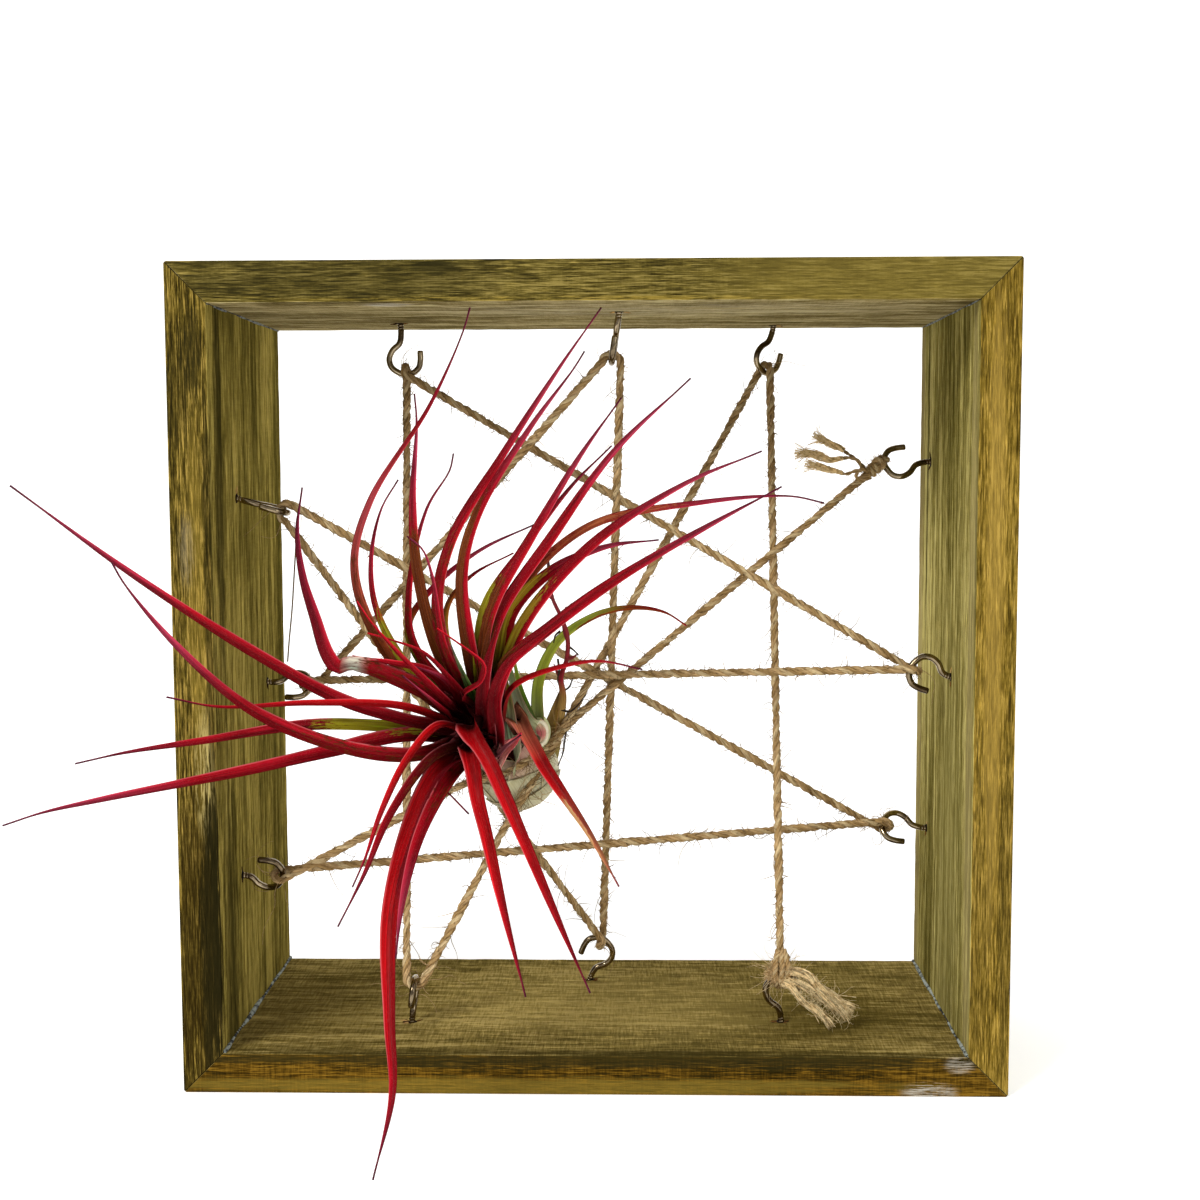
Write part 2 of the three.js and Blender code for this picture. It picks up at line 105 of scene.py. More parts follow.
def smooth(points, count):
    """Points evenly spaced along the centripetal Catmull-Rom curve through the given ones."""
    p = np.asarray(points, float)
    p = np.vstack([2 * p[0] - p[1], p, 2 * p[-1] - p[-2]])
    fine = []
    for a, b, c, d in zip(p, p[1:], p[2:], p[3:]):
        t1 = np.linalg.norm(b - a) ** 0.5
        t2 = t1 + np.linalg.norm(c - b) ** 0.5
        t3 = t2 + np.linalg.norm(d - c) ** 0.5
        t = np.linspace(t1, t2, 25)[:-1, None]
        ab = (t1 - t) / t1 * a + t / t1 * b
        bc = (t2 - t) / (t2 - t1) * b + (t - t1) / (t2 - t1) * c
        cd = (t3 - t) / (t3 - t2) * c + (t - t2) / (t3 - t2) * d
        abc = (t2 - t) / t2 * ab + t / t2 * bc
        bcd = (t3 - t) / (t3 - t1) * bc + (t - t1) / (t3 - t1) * cd
        fine.append((t2 - t) / (t2 - t1) * abc + (t - t1) / (t2 - t1) * bcd)
    fine.append(p[-2][None])
    return respace(np.vstack(fine), count)


def respace(points, count):
    """The polyline cut into equal steps."""
    steps = np.linalg.norm(np.diff(points, axis=0), axis=1)
    length = np.r_[0, np.cumsum(steps)]
    wanted = np.linspace(0, length[-1], count + 1)
    return np.stack([np.interp(wanted, length, points[:, k]) for k in range(3)], axis=1)


def lengths(points):
    return np.r_[0, np.cumsum(np.linalg.norm(np.diff(points, axis=0), axis=1))]


def headings(points):
    tangents = np.gradient(points, axis=0)
    return tangents / np.linalg.norm(tangents, axis=1, keepdims=True)


def carried_frames(points, first=None):
    """Tangents and two side directions along a polyline, carried along without twist."""
    tangents = headings(points)
    side = np.array([0, 0, 1.0] if abs(tangents[0][2]) < 0.8 else [1.0, 0, 0]) if first is None else first
    sides = []
    for tangent in tangents:
        side = across(side, tangent)
        sides.append(side)
    sides = np.array(sides)
    return tangents, sides, np.cross(tangents, sides)


def linked(name, data):
    """A new object in the scene."""
    made = bpy.data.objects.new(name, data)
    bpy.context.collection.objects.link(made)
    return made


class Skin:
    """Gathers rings of points into one mesh, with each point's colour and its place along and around."""

    def __init__(self):
        self.points, self.faces, self.tints, self.flushes, self.places = [], [], [], [], []
        self.count = 0

    def loft(self, rings, tints, places, flush=None):
        """Closed skin over rows of points; flush is a second colour, with its share as a fourth value."""
        rows, sides = rings.shape[:2]
        first = self.count
        index = first + np.arange(rows * sides).reshape(rows, sides)
        beside = np.roll(index, -1, axis=1)
        quads = np.stack([index[:-1], beside[:-1], beside[1:], index[1:]], axis=-1).reshape(-1, 4)
        self.faces += quads.tolist()
        self.faces.append(index[0][::-1].tolist())
        self.faces.append(index[-1].tolist())
        self.points.append(rings.reshape(-1, 3))
        self.tints.append(np.broadcast_to(tints, (rows, sides, 3)).reshape(-1, 3))
        self.flushes.append(np.zeros((rows * sides, 4)) if flush is None else flush.reshape(-1, 4))
        self.places.append(places.reshape(-1, 2))
        self.count += rows * sides

    def tube(self, points, radius, sides, tint, first=None):
        """A tube whose radius may be one number, one for each point, or a grid of points by sides."""
        points = np.asarray(points, float)
        _, side, up = carried_frames(points, first)
        turn = circle(sides)
        radius = np.asarray(radius, float)
        if radius.ndim < 2:
            radius = np.broadcast_to(radius, len(points))[:, None]
        rings = points[:, None] + turned(side[:, None], up[:, None], turn) * radius[..., None]
        place = np.stack(np.broadcast_arrays(lengths(points)[:, None], turn[None, :]), axis=-1)
        tint = np.asarray(tint, float)
        self.loft(rings, tint[:, None] if tint.ndim == 2 else tint, place)

    def piece(self, name, material, slot, *nodes):
        """The mesh as an object that rides on the root body and stands for the named nodes."""
        mesh = bpy.data.meshes.new(name)
        mesh.from_pydata((np.vstack(self.points) * MM).tolist(), [], self.faces)
        mesh.polygons.foreach_set("use_smooth", [True] * len(mesh.polygons))
        tints = np.c_[np.vstack(self.tints), np.ones(self.count)]
        for layer, colours in (("tint", tints), ("flush", np.vstack(self.flushes))):
            painted = mesh.color_attributes.new(layer, "FLOAT_COLOR", "POINT")
            painted.data.foreach_set("color", colours.ravel())
        corners = np.zeros(len(mesh.loops), int)
        mesh.loops.foreach_get("vertex_index", corners)
        mesh.uv_layers.new(name="place").data.foreach_set("uv", np.vstack(self.places)[corners].ravel())
        mesh.materials.append(material)
        made = linked(name, mesh)
        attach(made, "root")
        if nodes:
            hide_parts(*nodes)
        return made


# Material building


class Shades:
    """One material's node tree, with short calls for the nodes that it needs."""

    def __init__(self, name, **settings):
        self.material = bpy.data.materials.new(name)
        self.material.use_nodes = True
        self.tree = self.material.node_tree
        self.tree.nodes.clear()
        self.shader = self.fill(self.add("BsdfPrincipled"), **settings)
        self.add("OutputMaterial", self.shader.outputs[0])

    def put(self, socket, value):
        if isinstance(value, bpy.types.NodeSocket):
            self.tree.links.new(value, socket)
        elif value is not None:
            socket.default_value = value

    def add(self, kind, *values, **settings):
        """A new node with its settings, and with values or links for its first sockets."""
        node = self.tree.nodes.new("ShaderNode" + kind)
        for key, value in settings.items():
            setattr(node, key, value)
        for socket, value in zip(node.inputs, values):
            self.put(socket, value)
        return node

    def fill(self, node, **values):
        """Values or links for a node's sockets by their names, where _ stands for a space."""
        for socket, value in values.items():
            self.put(node.inputs[socket.replace("_", " ")], value)
        return node

    def spot(self):
        return self.add("TexCoord").outputs["Object"]

    def place(self):
        return self.add("UVMap", uv_map="place").outputs[0]

    def tint(self):
        return self.add("Attribute", attribute_name="tint").outputs["Color"]

    def math(self, operation, a, b=None):
        return self.add("Math", a, b, operation=operation).outputs[0]

    def vector(self, operation, a, b=None):
        node = self.add("VectorMath", a, b, operation=operation)
        return node.outputs["Value" if operation == "LENGTH" else 0]

    def noise(self, vector, scale=1.0, detail=3.0, roughness=0.5, distortion=0.0, output="Fac"):
        node = self.fill(self.add("TexNoise"), Vector=vector, Scale=scale, Detail=detail)
        return self.fill(node, Roughness=roughness, Distortion=distortion).outputs[output]

    def grain(self, vector, stretch, **settings):
        """Noise whose vector is first scaled along each axis."""
        return self.noise(self.vector("MULTIPLY", vector, stretch), **settings)

    def dots(self, vector, low, high, kept):
        """Scattered dots, one for each unit cell that a random draw keeps."""
        node = self.add("TexVoronoi", vector, voronoi_dimensions="2D")
        drawn = self.math("LESS_THAN", self.add("SeparateColor", node.outputs["Color"]).outputs[0], kept)
        return self.math("MULTIPLY", self.span(node.outputs["Distance"], low, high, 1.0, 0.0), drawn)

    def blend(self, *terms):
        """The middle value 0.5 moved by each pattern's swing about its own middle, times its weight."""
        total = 0.5
        for pattern, weight in terms:
            swing = self.math("MULTIPLY", self.math("SUBTRACT", pattern, 0.5), weight)
            total = self.math("ADD", swing, total)
        return total

    def ramp(self, value, stops):
        node = self.add("ValToRGB", value)
        elements = node.color_ramp.elements
        for place, _ in stops[2:]:
            elements.new(place)
        for element, (place, tone) in zip(elements, stops):
            element.position = place
            element.color = (*tone, 1.0)
        return node.outputs[0]

    def span(self, value, low, high, to_low=0.0, to_high=1.0):
        """A smooth step that goes from one value to another as the input goes from low to high."""
        node = self.add("MapRange", value, interpolation_type="SMOOTHSTEP")
        self.fill(node, From_Min=low, From_Max=high, To_Min=to_low, To_Max=to_high)
        return node.outputs[0]

    def mix(self, share, a, b, blend="MIX"):
        node = self.add("Mix", share, data_type="RGBA", blend_type=blend)
        colours = [s for s in node.inputs if s.type == "RGBA"]
        for socket, value in zip(colours, (a, b)):
            self.put(socket, value if isinstance(value, bpy.types.NodeSocket) else (*value, 1.0))
        return next(s for s in node.outputs if s.type == "RGBA")

    def times(self, colour, factors):
        return self.mix(1.0, colour, factors, blend="MULTIPLY")

    def laid(self, colour, over, pattern, low, high, least=0.0, most=1.0):
        """A colour with another over it, more and more as the pattern goes from low to high."""
        return self.mix(self.span(pattern, low, high, least, most), colour, over)

    def bump(self, height, strength, distance_mm):
        node = self.fill(self.add("Bump"), Strength=strength, Distance=distance_mm * MM, Height=height)
        return node.outputs[0]

    def finish(self, colour, roughness, normal=None):
        self.fill(self.shader, Base_Color=colour, Roughness=roughness, Normal=normal)
        return self.material


# Frame: sizes as in the solids, in millimetres
FRAME_SIDE = 254.0
FRAME_DEPTH = 96.0
BOARD = 12.4
INSIDE = FRAME_SIDE / 2 - BOARD
TOP = FRAME_SIDE - BOARD
ARRIS = 0.45
ARRIS_MIDDLE = 0.29
# The middle of each arris is lighter: partly rubbed wear, partly a painted highlight
ARRIS_WEAR_AND_HIGHLIGHT = 1.35
MITRE_GROOVE = 0.25
GROOVE_SHADE = 0.12
OUTER_ROUNDING = 0.35
BOARD_STATIONS = 49
FACE_WANDER = 0.07
STAIN = rgb("26220f")
GOLD = rgb("8f7830")
SCUFF = rgb("b9b4a6")
# How much brighter the wide faces are painted than their tones, as painted light, and the stops where the
# tones lie
FACE_PAINTED_LIGHT = 1.3
TONE_STOPS = (0.24, 0.5, 0.76)
# Sizes in the grain: how far and how fast the pith wanders, the rings' bands and lines, and a fibre
PITH_SWAY = 11
PITH_WAVE = 30
RING_BAND = 5.5
RING_LINE = 1.1
RING_LENGTH = 90
FIBRE_LENGTH = 10
FIBRE_WIDTH = 0.5


def wood(name, grain, seed, pith, banding, waviness, sawn, rim_tones, face_tones, marks):
    """Stained softwood with growth rings round a pith line that runs along X or Z.

    The pith is a place across the grain, waviness the length of the rings' waves, and banding and sawn
    the strength of the rings and of the saw marks. The narrow front and back rims take the first tones
    and the wide faces the second. A mark is a darker or lighter place: its centre, half sizes, tone and
    amount, and a word more where it is broken up into streaks.
    """
    shades = Shades(name, Specular_IOR_Level=0.0)
    place = shades.add("VectorMath", shades.spot(), operation="SCALE")
    place = shades.fill(place, Scale=1 / MM).outputs[0]
    axes = shades.add("SeparateXYZ", place).outputs
    run, rise = (axes[0], axes[2]) if grain == "X" else (axes[2], axes[0])
    along = shades.add("CombineXYZ", run, axes[1], rise).outputs[0]
    shifted = shades.vector("ADD", along, (seed * 131.0, seed * 57.0, seed * 23.0))

    def stretched(lengthwise, crosswise, **settings):
        return shades.grain(shifted, (1 / lengthwise, 1 / crosswise, 1 / crosswise), **settings)

    # Growth rings: the distance from a wandering pith, read through a noise with sharp steps
    sway = stretched(waviness, PITH_WAVE, detail=2.0, output="Color")
    sway = shades.vector("SUBTRACT", sway, (0.5, 0.5, 0.5))
    sway = shades.vector("MULTIPLY", sway, (0, PITH_SWAY, PITH_SWAY))
    arm = shades.vector("SUBTRACT", shades.vector("ADD", along, sway), (0, *pith))
    distance = shades.vector("LENGTH", shades.vector("MULTIPLY", arm, (0, 1, 1)))
    ring = shades.add("CombineXYZ", distance, shades.math("MULTIPLY", run, 1 / RING_LENGTH)).outputs[0]
    bands = shades.grain(ring, (1 / RING_BAND, 1, 1), detail=2.0, roughness=0.6)
    lines = shades.grain(ring, (1 / RING_LINE, 1, 1), detail=3.0, roughness=0.65)
    patches = stretched(140, 34, detail=2.0)
    blotches = stretched(64, 3.4, detail=5.0, roughness=0.62, distortion=0.25)
    strips = stretched(waviness, 2.4, detail=4.0, roughness=0.72)
    fibres = stretched(FIBRE_LENGTH, FIBRE_WIDTH, detail=4.0, roughness=0.75)
    flecks = shades.span(stretched(9, 0.6, detail=1.0), 0.55, 0.66)
    glints = shades.span(stretched(6, 0.5, detail=1.0), 0.6, 0.7)
    saw = shades.grain(shifted, (1 / 0.7, 1 / 8, 1 / 9), detail=3.0, roughness=0.7)

    rim_mix = shades.blend(
        (bands, 0.55 * banding), (lines, 0.7 * banding), (blotches, 0.4), (patches, 0.6), (strips, 0.25),
        (fibres, 2.3), (saw, 0.6 * sawn),
    )
    face_mix = shades.blend(
        (bands, 1.2 * banding), (lines, 0.75 * banding), (patches, 0.8), (blotches, 0.8), (strips, 1.3),
        (fibres, 1.3), (saw, sawn),
    )
    rim_colour = shades.ramp(rim_mix, list(zip(TONE_STOPS, tones(rim_tones))))
    # The wide faces are painted brighter than their stain, as painted light
    lit_face_tones = [tone * FACE_PAINTED_LIGHT for tone in tones(face_tones)]
    face_colour = shades.ramp(face_mix, list(zip(TONE_STOPS, lit_face_tones)))
    facing = shades.add("SeparateXYZ", shades.add("NewGeometry").outputs["Normal"]).outputs[1]
    colour = shades.laid(face_colour, rim_colour, shades.math("ABSOLUTE", facing), 0.5, 0.9)
    dark = shades.times(colour, (0.42, 0.4, 0.34))
    colour = shades.mix(shades.math("MULTIPLY", flecks, 0.7), colour, dark)
    light = shades.times(colour, (1.7, 1.65, 1.5))
    colour = shades.mix(shades.math("MULTIPLY", glints, 0.6), colour, light)

    ragged = shades.blend((blotches, 1.9), (fibres, 1.5))
    streaks = shades.span(shades.blend((blotches, 1.5), (fibres, 2.4)), 0.4, 0.7)
    for centre, size, tone, amount, *streaky in marks:
        offset = shades.vector("MULTIPLY", shades.vector("SUBTRACT", place, centre), [1 / s for s in size])
        reach = shades.math("ADD", shades.vector("LENGTH", offset), ragged)
        mask = shades.span(reach, 1.15, 1.75, amount, 0.0)
        if streaky:
            mask = shades.math("MULTIPLY", mask, streaks)
        colour = shades.mix(mask, colour, tone)

    height = shades.math("SUBTRACT", shades.blend((lines, 0.6), (fibres, 1.2), (saw, 0.4)), flecks)
    roughness = shades.span(bands, 0.3, 0.7, 0.62, 0.8)
    return shades.finish(shades.times(colour, shades.tint()), roughness, shades.bump(height, 0.7, 0.4))


def board(name, quarter_turn, material):
    """A mitred board: softened arrises, ends that close on their neighbours in a fine groove."""
    outer = FRAME_SIDE / 2
    half = FRAME_DEPTH / 2
    section = []
    for z, y, turn in ((0, -half, -1), (0, half, 1), (BOARD, half, 1), (BOARD, -half, -1)):
        inward = 1 if z == 0 else -1
        start, end = (y, z + inward * ARRIS), (y - turn * ARRIS, z)
        middle = (y - turn * ARRIS * ARRIS_MIDDLE, z + inward * ARRIS * ARRIS_MIDDLE)
        section += [start, middle, end] if turn * inward < 0 else [end, middle, start]
    section = np.array(section)
    reach = outer - section[:, 1]
    reach -= OUTER_ROUNDING * np.clip(1 - section[:, 1] / (3 * OUTER_ROUNDING), 0, 1) ** 2
    groove_start = 1 - MITRE_GROOVE / outer
    stations = np.r_[-1, np.linspace(-groove_start, groove_start, BOARD_STATIONS), 1]
    rings = np.stack([np.stack([s * reach, section[:, 0], section[:, 1]], axis=1) for s in stations])
    middle = np.array([0, BOARD / 2])
    sunk = section - MITRE_GROOVE * np.sign(section - middle)
    for end in (0, -1):
        rings[end, :, 1:] = sunk
        rings[end, :, 0] = stations[end] * (outer - sunk[:, 1])
    wander = draws(len(stations), -FACE_WANDER, FACE_WANDER)
    rings[2:-2, :, 2] += wander[2:-2, None] * (section[:, 1] > BOARD / 2)
    # Wear and painted highlight: the middle row of each arris is painted lighter
    worn_and_highlit = np.where(np.arange(len(section)) % 3 == 1, ARRIS_WEAR_AND_HIGHLIGHT, 1.0)
    tints = np.repeat(worn_and_highlit[None, :, None], len(stations), axis=0)
    tints[[0, -1]] *= GROOVE_SHADE
    rings[..., 2] -= FRAME_SIDE / 2
    angle = quarter_turn * math.pi / 2
    x = rings[..., 0] * math.cos(angle) + rings[..., 2] * math.sin(angle)
    z = -rings[..., 0] * math.sin(angle) + rings[..., 2] * math.cos(angle)
    rings = np.stack([x, rings[..., 1], z + FRAME_SIDE / 2], axis=-1)
    skin = Skin()
    skin.loft(rings, np.repeat(tints, 3, axis=2), np.zeros(rings.shape[:2] + (2,)))
    made = skin.piece(name + "_stained", material, "stained_wood", name)
    made.data.polygons.foreach_set("use_smooth", [False] * len(made.data.polygons))


# Quarter turn, grain, seed, pith, banding, waviness, saw marks, tones of the rims and the faces, and marks
BOARDS = {
    "board_bottom": (
        0, "X", 1.0, (30, -60), 0.2, 24, 1.1,
        "271f09 533c0f 7e5e1d",
        "504520 746435 94824d",
        [
            ((0, -48, 10.6), (150, 5, 2.2), STAIN * 1.3, 0.75),
            ((-20, -48, 2.5), (110, 5, 2.6), GOLD * 0.85, 0.55),
            ((103, -48, 1.5), (9, 5, 3), SCUFF, 0.9, "streaky"),
            ((112, -48, 10), (5, 5, 3), SCUFF, 0.6, "streaky"),
            ((70, -10, 12.4), (34, 26, 6), rgb("4d4014"), 0.4),
            ((-90, -10, 12.4), (34, 40, 6), rgb("4a3c14"), 0.45),
            ((10, 0, 12.4), (50, 30, 6), rgb("98854a"), 0.35),
            ((0, -45, 12.4), (130, 3, 6), rgb("3e3311"), 0.45),
        ],
    ),
    "board_left": (
        1, "Z", 2.0, (-30, -70), 0.62, 70, 0.15,
        "29220c 5d4e1c a08640",
        "463e18 6f622c 9a8946",
        [
            ((-121, -48, 50), (8, 6, 50), rgb("2d2109"), 0.6),
            ((-117.4, -48, 44), (3.4, 6, 42), STAIN * 0.7, 0.85),
            ((-118, -48, 101), (3.6, 6, 22), rgb("b5a468"), 0.75, "streaky"),
            ((-116.5, -48, 84), (2.4, 6, 9), STAIN * 0.7, 0.75),
            ((-115.6, -48, 120), (1.3, 6, 110), STAIN * 0.8, 0.6),
            ((-124, -48, 214), (6, 6, 16), STAIN, 0.35),
            ((-119, -48, 226), (3, 6, 14), STAIN, 0.6),
            ((-119.5, -48, 150), (2.4, 6, 60), GOLD, 0.3),
            ((-114, -37, 190), (4, 4, 70), STAIN, 0.65),
            ((-114, -34, 40), (4, 8, 60), STAIN * 1.2, 0.5),
            ((-122, -48, 168), (3, 5, 14), SCUFF * 0.5, 0.22, "streaky"),
        ],
    ),
    "board_top": (
        2, "X", 3.0, (-44, 262), 0.7, 22, 0.3,
        "302a12 5c5022 87773f",
        "4d4326 7d6f4a a0946c",
        [
            ((95, -48, 247), (60, 6, 9), rgb("7d6c30"), 0.45),
            ((-75, -48, 249), (55, 6, 8), STAIN * 1.5, 0.45),
            ((-46, -48, 252), (6, 6, 1.6), STAIN * 1.3, 0.7),
            ((-10, -48, 242.4), (90, 4, 0.8), GOLD * 1.15, 0.6, "streaky"),
            ((-62, -38, 241.6), (9, 6, 4), SCUFF, 0.8, "streaky"),
            ((20, -20, 241.6), (90, 24, 4), SCUFF * 0.6, 0.3, "streaky"),
        ],
    ),
    "board_right": (
        3, "Z", 4.0, (40, 60), 0.5, 110, 0.1,
        "4a3b11 7b6424 ac8e42",
        "4a431c 796e3a a69a5f",
        [
            ((120, -48, 150), (2.6, 6, 90), rgb("a58840"), 0.45),
            ((117, -48, 50), (4, 6, 45), STAIN * 1.8, 0.2),
            ((125, -48, 60), (2, 6, 60), STAIN * 1.8, 0.3),
            ((114, -42, 110), (4, 5, 130), rgb("97895a"), 0.55),
            ((114, 44, 120), (4, 5, 160), rgb("95855a"), 0.6),
            ((114.6, 33, 205), (2, 1.6, 70), STAIN, 0.7),
            ((114.6, -10, 60), (4, 20, 70), rgb("6a6232"), 0.5),
        ],
    ),
}

for board_name, (quarter, *looks) in BOARDS.items():
    board(board_name, quarter, wood("stained_" + board_name, *looks))

# Screw hooks: where each enters the wood, where it points, where it opens to, and how deep it is sunk
WIRE_RADIUS = 1.05
HOOKS = {
    "hook_top_1": ((-67, 22, TOP), (0, 0, -1), (1, 0, 0), 0),
    "hook_top_2": ((8, -15, TOP), (-0.15, 0, -1), (0, -1, 0), 1),
    "hook_top_3": ((61, 37, TOP), (-0.26, 0, -1), (0.8, 0.6, 0), 1),
    "hook_right_1": ((INSIDE, 28, 194), (-1, 0, -0.12), (0, 0.4, 1), 1.5),
    "hook_right_2": ((INSIDE, -12, 125), (-1, 0, 0.35), (0, 0, -1), 4),
    "hook_right_3": ((INSIDE, 26, 67), (-1, 0, 0.15), (0, -0.8, -1), 1.5),
    "hook_bottom_1": ((-60, -19, BOARD), (0.1, 0, 1), (0, -1, 0), 2),
    "hook_bottom_2": ((-3, 25, BOARD), (0.42, 0, 1), (-1, 0, 0), 2),
    "hook_bottom_3": ((60, -17, BOARD), (-0.1, 0, 1), (1, 0, 0), 2),
    "hook_left_1": ((-INSIDE, -16, 183), (1, 0, -0.27), (0, -1, 0), 0),
    "hook_left_2": ((-INSIDE, 21, 119), (1, 0, 0), (0, -1, -1), 2),
    "hook_left_3": ((-INSIDE, -19, 61), (1, 0, -0.1), (0, -0.4, 1), 4),
}
# The bend of a hook: the height of each place on it above the wood, and how far it stands to one side
HOOK_BEND = [
    (0, 0), (4.1, 0.3), (6.8, -0.3), (9.2, -2.7), (12, -3.8), (14.7, -3.1),
    (16.4, -1), (17.3, 1.7), (16.8, 4.1), (15, 6.2), (12.7, 6.8), (9.2, 6.8),
]
HOOK_CREST = (17.3, 1.7)
HOOK_SIDES = 14
HOOK_ROWS = 150
# The bend starts this far above the wood, and the wire narrows at the last two rows of its open end
HOOK_CLEAR = 0.8
WIRE_ENDS = (0.95, 0.78)
SHANK_DEPTHS = (6.5, 3)
# The thread fades out towards a height above the wood, and lies only on the first stretch of the wire
THREAD_PITCH = 0.9
THREAD_END = 2.6
THREAD_FADE = 1.2
THREAD_HEIGHT = 0.3
THREAD_CUT = 0.22
THREAD_TRAVEL = 12


class Hook:
    """A hook's own directions, and places given by their height on the bend and their side."""

    def __init__(self, at, out, side, sunk):
        self.at = np.array(at, float)
        self.out = unit(out)
        self.side = across(side, self.out)
        self.normal = np.cross(self.out, self.side)
        self.sunk = sunk

    def place(self, height, aside=0.0):
        return self.at + self.out * (height - self.sunk) + self.side * aside


HOOK = {name: Hook(*values) for name, values in HOOKS.items()}


def hook_metal():
    """Aged brass with dull smudges."""
    shades = Shades("hook_wire", Metallic=1.0)
    smudge = shades.noise(shades.spot(), scale=160.0, detail=3.0, roughness=0.55)
    colour = shades.laid(rgb("9c8c70"), rgb("4a3c2b"), smudge, 0.3, 0.7)
    return shades.finish(colour, shades.span(smudge, 0.3, 0.8, 0.08, 0.26))


def wire(name, hook, material):
    """The bent wire with a cut thread near the wood and a slightly rounded sawn end."""
    foot = [hook.place(hook.sunk - depth) for depth in SHANK_DEPTHS]
    bend = [hook.place(h, s) for h, s in HOOK_BEND]
    above = [p for p in bend if np.dot(p - hook.at, hook.out) > HOOK_CLEAR]
    spine = smooth(foot + above, HOOK_ROWS)
    depth = (spine - hook.at) @ hook.out
    travel = lengths(spine)
    phase = travel[:, None] / THREAD_PITCH - circle(HOOK_SIDES)[None, :] / (2 * math.pi)
    crest = np.abs((phase % 1.0) - 0.5) * 2
    cut = ramped(THREAD_END - depth, 0, THREAD_FADE) * (travel < THREAD_TRAVEL)
    radius = WIRE_RADIUS + cut[:, None] * (THREAD_HEIGHT * crest - THREAD_CUT)
    radius[-2:] *= np.array(WIRE_ENDS)[:, None]
    skin = Skin()
    skin.tube(spine, radius, HOOK_SIDES, (1, 1, 1), first=hook.normal)
    skin.piece(name + "_wire", material, "hook_wire", name)


metal = hook_metal()
for hook_name, one in HOOK.items():
    wire(hook_name, one, metal)


def plain(name, noise_scale, dark, light, low, high, roughness):
    """A matt material that goes from one tone to another in small patches."""
    shades = Shades(name, Specular_IOR_Level=0.1)
    patches = shades.noise(shades.spot(), scale=noise_scale, detail=4.0, roughness=0.6)
    colour = shades.laid(dark, light, patches, low, high)
    return shades.finish(shades.times(colour, shades.tint()), roughness)


# Torn wood round each hook: a dark pressed ring, with splinters that lie along the grain
SPLINTERS = {"top": 5, "right": 2, "bottom": 9, "left": 2}
torn = Skin()
for hook_name, one in HOOK.items():
    upright = abs(one.at[0]) > INSIDE - 1
    sideways = ALONG_Z if upright else ALONG_X
    inward = -np.sign(one.at[0]) * ALONG_X if upright else ALONG_Z
    if one.at[2] > TOP - 1:
        inward = -inward
    around = circle(22)
    for reach, shade, thick in ((1.4, rgb("2a1f10"), 0.06), (1.2, rgb("120c06"), 0.18)):
        ragged = reach * (1 + 0.16 * draws(len(around), -1, 1))
        ring = sideways * (ragged * np.cos(around) * 1.15)[:, None]
        ring = ring + ALONG_Y * (ragged * np.sin(around))[:, None]
        levels = ((1, -0.3), (1, thick), (0.8, thick))
        rings = np.array([one.at + ring * wide + inward * lift for wide, lift in levels])
        torn.loft(rings, shade, np.zeros((3, len(around), 2)))
    for _ in range(SPLINTERS[hook_name.split("_")[1]]):
        turn = CHANCE.gauss(0, 0.5) + CHANCE.choice((0, math.pi))
        heading = sideways * math.cos(turn) + ALONG_Y * math.sin(turn)
        foot = one.at + heading * CHANCE.uniform(1.0, 1.7) + inward * 0.05
        tone = CHANCE.choice(tones("3a2712 6b4a22 b08d58"))
        steps = np.linspace(0, CHANCE.uniform(0.8, 2.6), 4)
        splinter = foot + np.outer(steps, heading + inward * CHANCE.uniform(0, 0.3))
        torn.tube(splinter, [0.28, 0.26, 0.18, 0.05], 4, tone)
torn_look = {"low": 0.4, "high": 0.6, "roughness": 0.9}
torn_wood = plain("torn_wood", 900.0, (0.8, 0.8, 0.8), (1.15, 1.1, 1.0), **torn_look)
torn.piece("hook_splinters", torn_wood, "stained_wood")

# Glue squeezed out along the inner corners: a dark line, partly a crack and partly painted shadow in the
# corner, with a lumpy grey-blue bead over it
# Sides of the frame that meet, how thick the bead is, how far it runs without a break, and its tone
GLUE_LINES = [
    (-1, 0, 1.0, 0.62, rgb("868c86")),
    (1, 0, 0.9, 0.55, rgb("868c86")),
    (-1, 1, 0.42, 0.5, rgb("5f625a")),
    (1, 1, 0.38, 0.42, rgb("5f625a")),
]
GLUE_STEPS = 150
glue = Skin()
for across_x, is_top, bulk, share, tone in GLUE_LINES:
    corner = np.array([across_x * INSIDE, 0, TOP if is_top else BOARD])
    away = unit([-across_x, 0, -1 if is_top else 1])
    depth = np.linspace(-FRAME_DEPTH / 2 + 0.5, FRAME_DEPTH / 2 - 0.5, GLUE_STEPS)
    waves = [(CHANCE.uniform(3, 19), CHANCE.uniform(0, 6)) for _ in range(6)]
    lumps = sum(np.sin(depth / length + phase) for length, phase in waves) / 2.4
    swell = np.clip(share + lumps * 0.5 + draws(GLUE_STEPS, -0.2, 0.2), 0.0, 1.3)
    drift = np.array([0.16 * math.sin(y / 4.1 + bulk * 9) for y in depth])
    line = corner + np.outer(depth, ALONG_Y) + away * 0.1
    line = line + np.outer(drift * bulk, np.cross(away, ALONG_Y))
    # The dark line in the corner: partly a crack, partly painted shadow
    glue.tube(line, np.maximum(0.28 * bulk + 0.55 * bulk * swell, 0.12), 8, rgb("17130f"))
    bead = np.where(swell > 0.25, 0.2 + 0.62 * bulk * swell, 0.02)
    lift = line + away * (0.18 * bulk + 0.2 * bulk * swell)[:, None]
    glue.tube(lift, bead, 8, tone)
glue_look = {"low": 0.42, "high": 0.56, "roughness": 0.55}
glue_skin = plain("glue_bead", 420.0, (0.12, 0.12, 0.13), (1.25, 1.25, 1.2), **glue_look)
glue.piece("glue_beads", glue_skin, "stained_wood")

